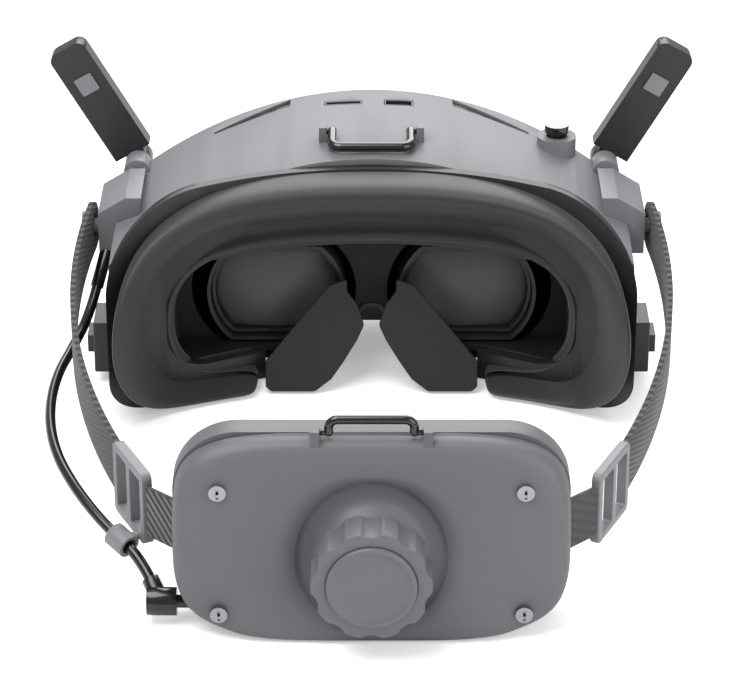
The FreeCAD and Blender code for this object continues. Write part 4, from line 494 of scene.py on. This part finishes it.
real = add_node(group, "GeometryNodeRealizeInstances", links={"Geometry": spots.outputs["Instances"]})
painted = add_node(group, "GeometryNodeSetMaterial", {"Material": STEEL},
                   {"Geometry": real.outputs["Geometry"]})
sink = add_node(group, "NodeGroupOutput")
group.links.new(painted.outputs["Geometry"], sink.inputs["Geometry"])

depths = [rear + LEAN * z + (0.1 if z > 25 else 1.3) for x, z in SCREWS]
spots_object = mesh_object("case_screws", [(x, y, z) for (x, z), y in zip(SCREWS, depths)], [], STEEL)
maker = spots_object.modifiers.new("screw heads", "NODES")
maker.node_group = group
for item in group.interface.items_tree:
    if item.item_type == "SOCKET" and item.in_out == "INPUT" and item.name == "Radius":
        maker[item.identifier] = HEAD * MM
bpy.context.view_layer.update()
heads = bpy.data.meshes.new_from_object(spots_object.evaluated_get(bpy.context.evaluated_depsgraph_get()))
spots_object.modifiers.clear()
spots_object.data = heads
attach(spots_object, "headband")
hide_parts("pack_screws")
print("screw head vertices:", len(heads.vertices))

# %% [markdown]
# ## Cable
# One round PVC cable runs from the plug on the goggles' left side to the pack, outside the strap.
# It is a drawn curve turned to a tube.

# %% Cable
ROUTE = [(-88.6, 49.5, 38.5), (-90.80, 42.60, 31.60), (-94.8, 29, 27.5), (-98.4, 7, 28), (-98.6, -16, 27),
         (-94.9, -37, 25.5), (-87.5, -54, 22.5), (-77.5, -68.5, 18), (-67.5, -78.5, 14.5),
         (-63.64, -84.93, 9.95)]
line = bpy.data.curves.new("cable line", "CURVE")
line.dimensions = "3D"
line.resolution_u = 10
spline = line.splines.new("NURBS")
spline.points.add(len(ROUTE) - 1)
for point, place in zip(spline.points, ROUTE):
    point.co = (*[c * MM for c in place], 1.0)
spline.order_u = 3
spline.use_endpoint_u = True
line_object = bpy.data.objects.new("cable line", line)
bpy.context.scene.collection.objects.link(line_object)
bpy.context.view_layer.update()
bare = bpy.data.meshes.new_from_object(line_object)
line.bevel_depth = 1.65 * MM
line.bevel_resolution = 5
line.use_fill_caps = True
bpy.context.view_layer.update()
tube = bpy.data.meshes.new_from_object(line_object.evaluated_get(bpy.context.evaluated_depsgraph_get()))
bpy.data.objects.remove(line_object)
tube.materials.clear()
tube.materials.append(CABLE)
cable = bpy.data.objects.new("cable_sheath", tube)
bpy.context.scene.collection.objects.link(cable)
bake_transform(cable)
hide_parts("cable")

# %% [markdown]
# ## Camera, floor and light
# A long lens looks down at the pack from behind the object. Wide soft lights keep the finish even.

# %% Camera, floor and light
scene = bpy.context.scene
scene.view_settings.view_transform = "Standard"
target = Vector((0, 0.0495, 0.0155))
rise = math.radians(27)
eye = target + Vector((0, -math.cos(rise), math.sin(rise)))
camera_data = bpy.data.cameras.new("camera")
camera_data.lens = 148
camera_data.shift_x = 0.002
camera = bpy.data.objects.new("camera", camera_data)
camera.location = eye
camera.rotation_euler = (math.radians(90) - rise, 0, 0)
scene.collection.objects.link(camera)
scene.camera = camera


def area_light(name, place, size, power):
    """A square soft light at a place in metres, turned to the object."""
    data = bpy.data.lights.new(name, "AREA")
    data.shape = "SQUARE"
    data.size = size
    data.energy = power
    lamp = bpy.data.objects.new(name, data)
    lamp.location = place
    lamp.rotation_euler = (target - Vector(place)).to_track_quat("-Z", "Y").to_euler()
    scene.collection.objects.link(lamp)


area_light("key", (-0.35, -0.2, 0.9), 0.7, 9)
area_light("far rim", (0.1, 0.8, 0.7), 0.8, 9)
area_light("fill", (0.7, -0.6, 0.45), 0.7, 4)


def seen_directly(tree):
    """A node whose value is 1 on rays from the camera or through glass, and 0 on all others."""
    rays = add_node(tree, "ShaderNodeLightPath")
    return add_node(tree, "ShaderNodeMath", {"operation": "MAXIMUM"},
                    {0: rays.outputs["Is Camera Ray"], 1: rays.outputs["Is Transmission Ray"]})


world = bpy.data.worlds.new("world")
scene.world = world
world.use_nodes = True
sky = world.node_tree
back = sky.nodes["Background"]
seen = seen_directly(sky)
strength = add_node(sky, "ShaderNodeMapRange", {"To Min": 0.5, "To Max": 1.0},
                    {"Value": seen.outputs["Value"]})
back.inputs["Color"].default_value = (1, 1, 1, 1)
sky.links.new(strength.outputs["Result"], back.inputs["Strength"])

PAPER = material("white paper sweep", "#F4F4F4", 0.9)
REACH, UNDER = 4000, -0.2
corners = [(x, y, UNDER) for x, y in ((-REACH, -REACH), (REACH, -REACH), (REACH, REACH), (-REACH, REACH))]
floor = mesh_object("floor", corners, [(0, 1, 2, 3)], PAPER, smooth=False)
paper = PAPER.node_tree
floor_seen = seen_directly(paper)
glow = add_node(paper, "ShaderNodeMath", {"operation": "MULTIPLY", 1: 0.35}, {0: floor_seen.outputs["Value"]})
paper_shader = paper.nodes["Principled BSDF"]
paper_shader.inputs["Emission Color"].default_value = (1, 1, 1, 1)
paper.links.new(glow.outputs["Value"], paper_shader.inputs["Emission Strength"])
print("camera and lights set")
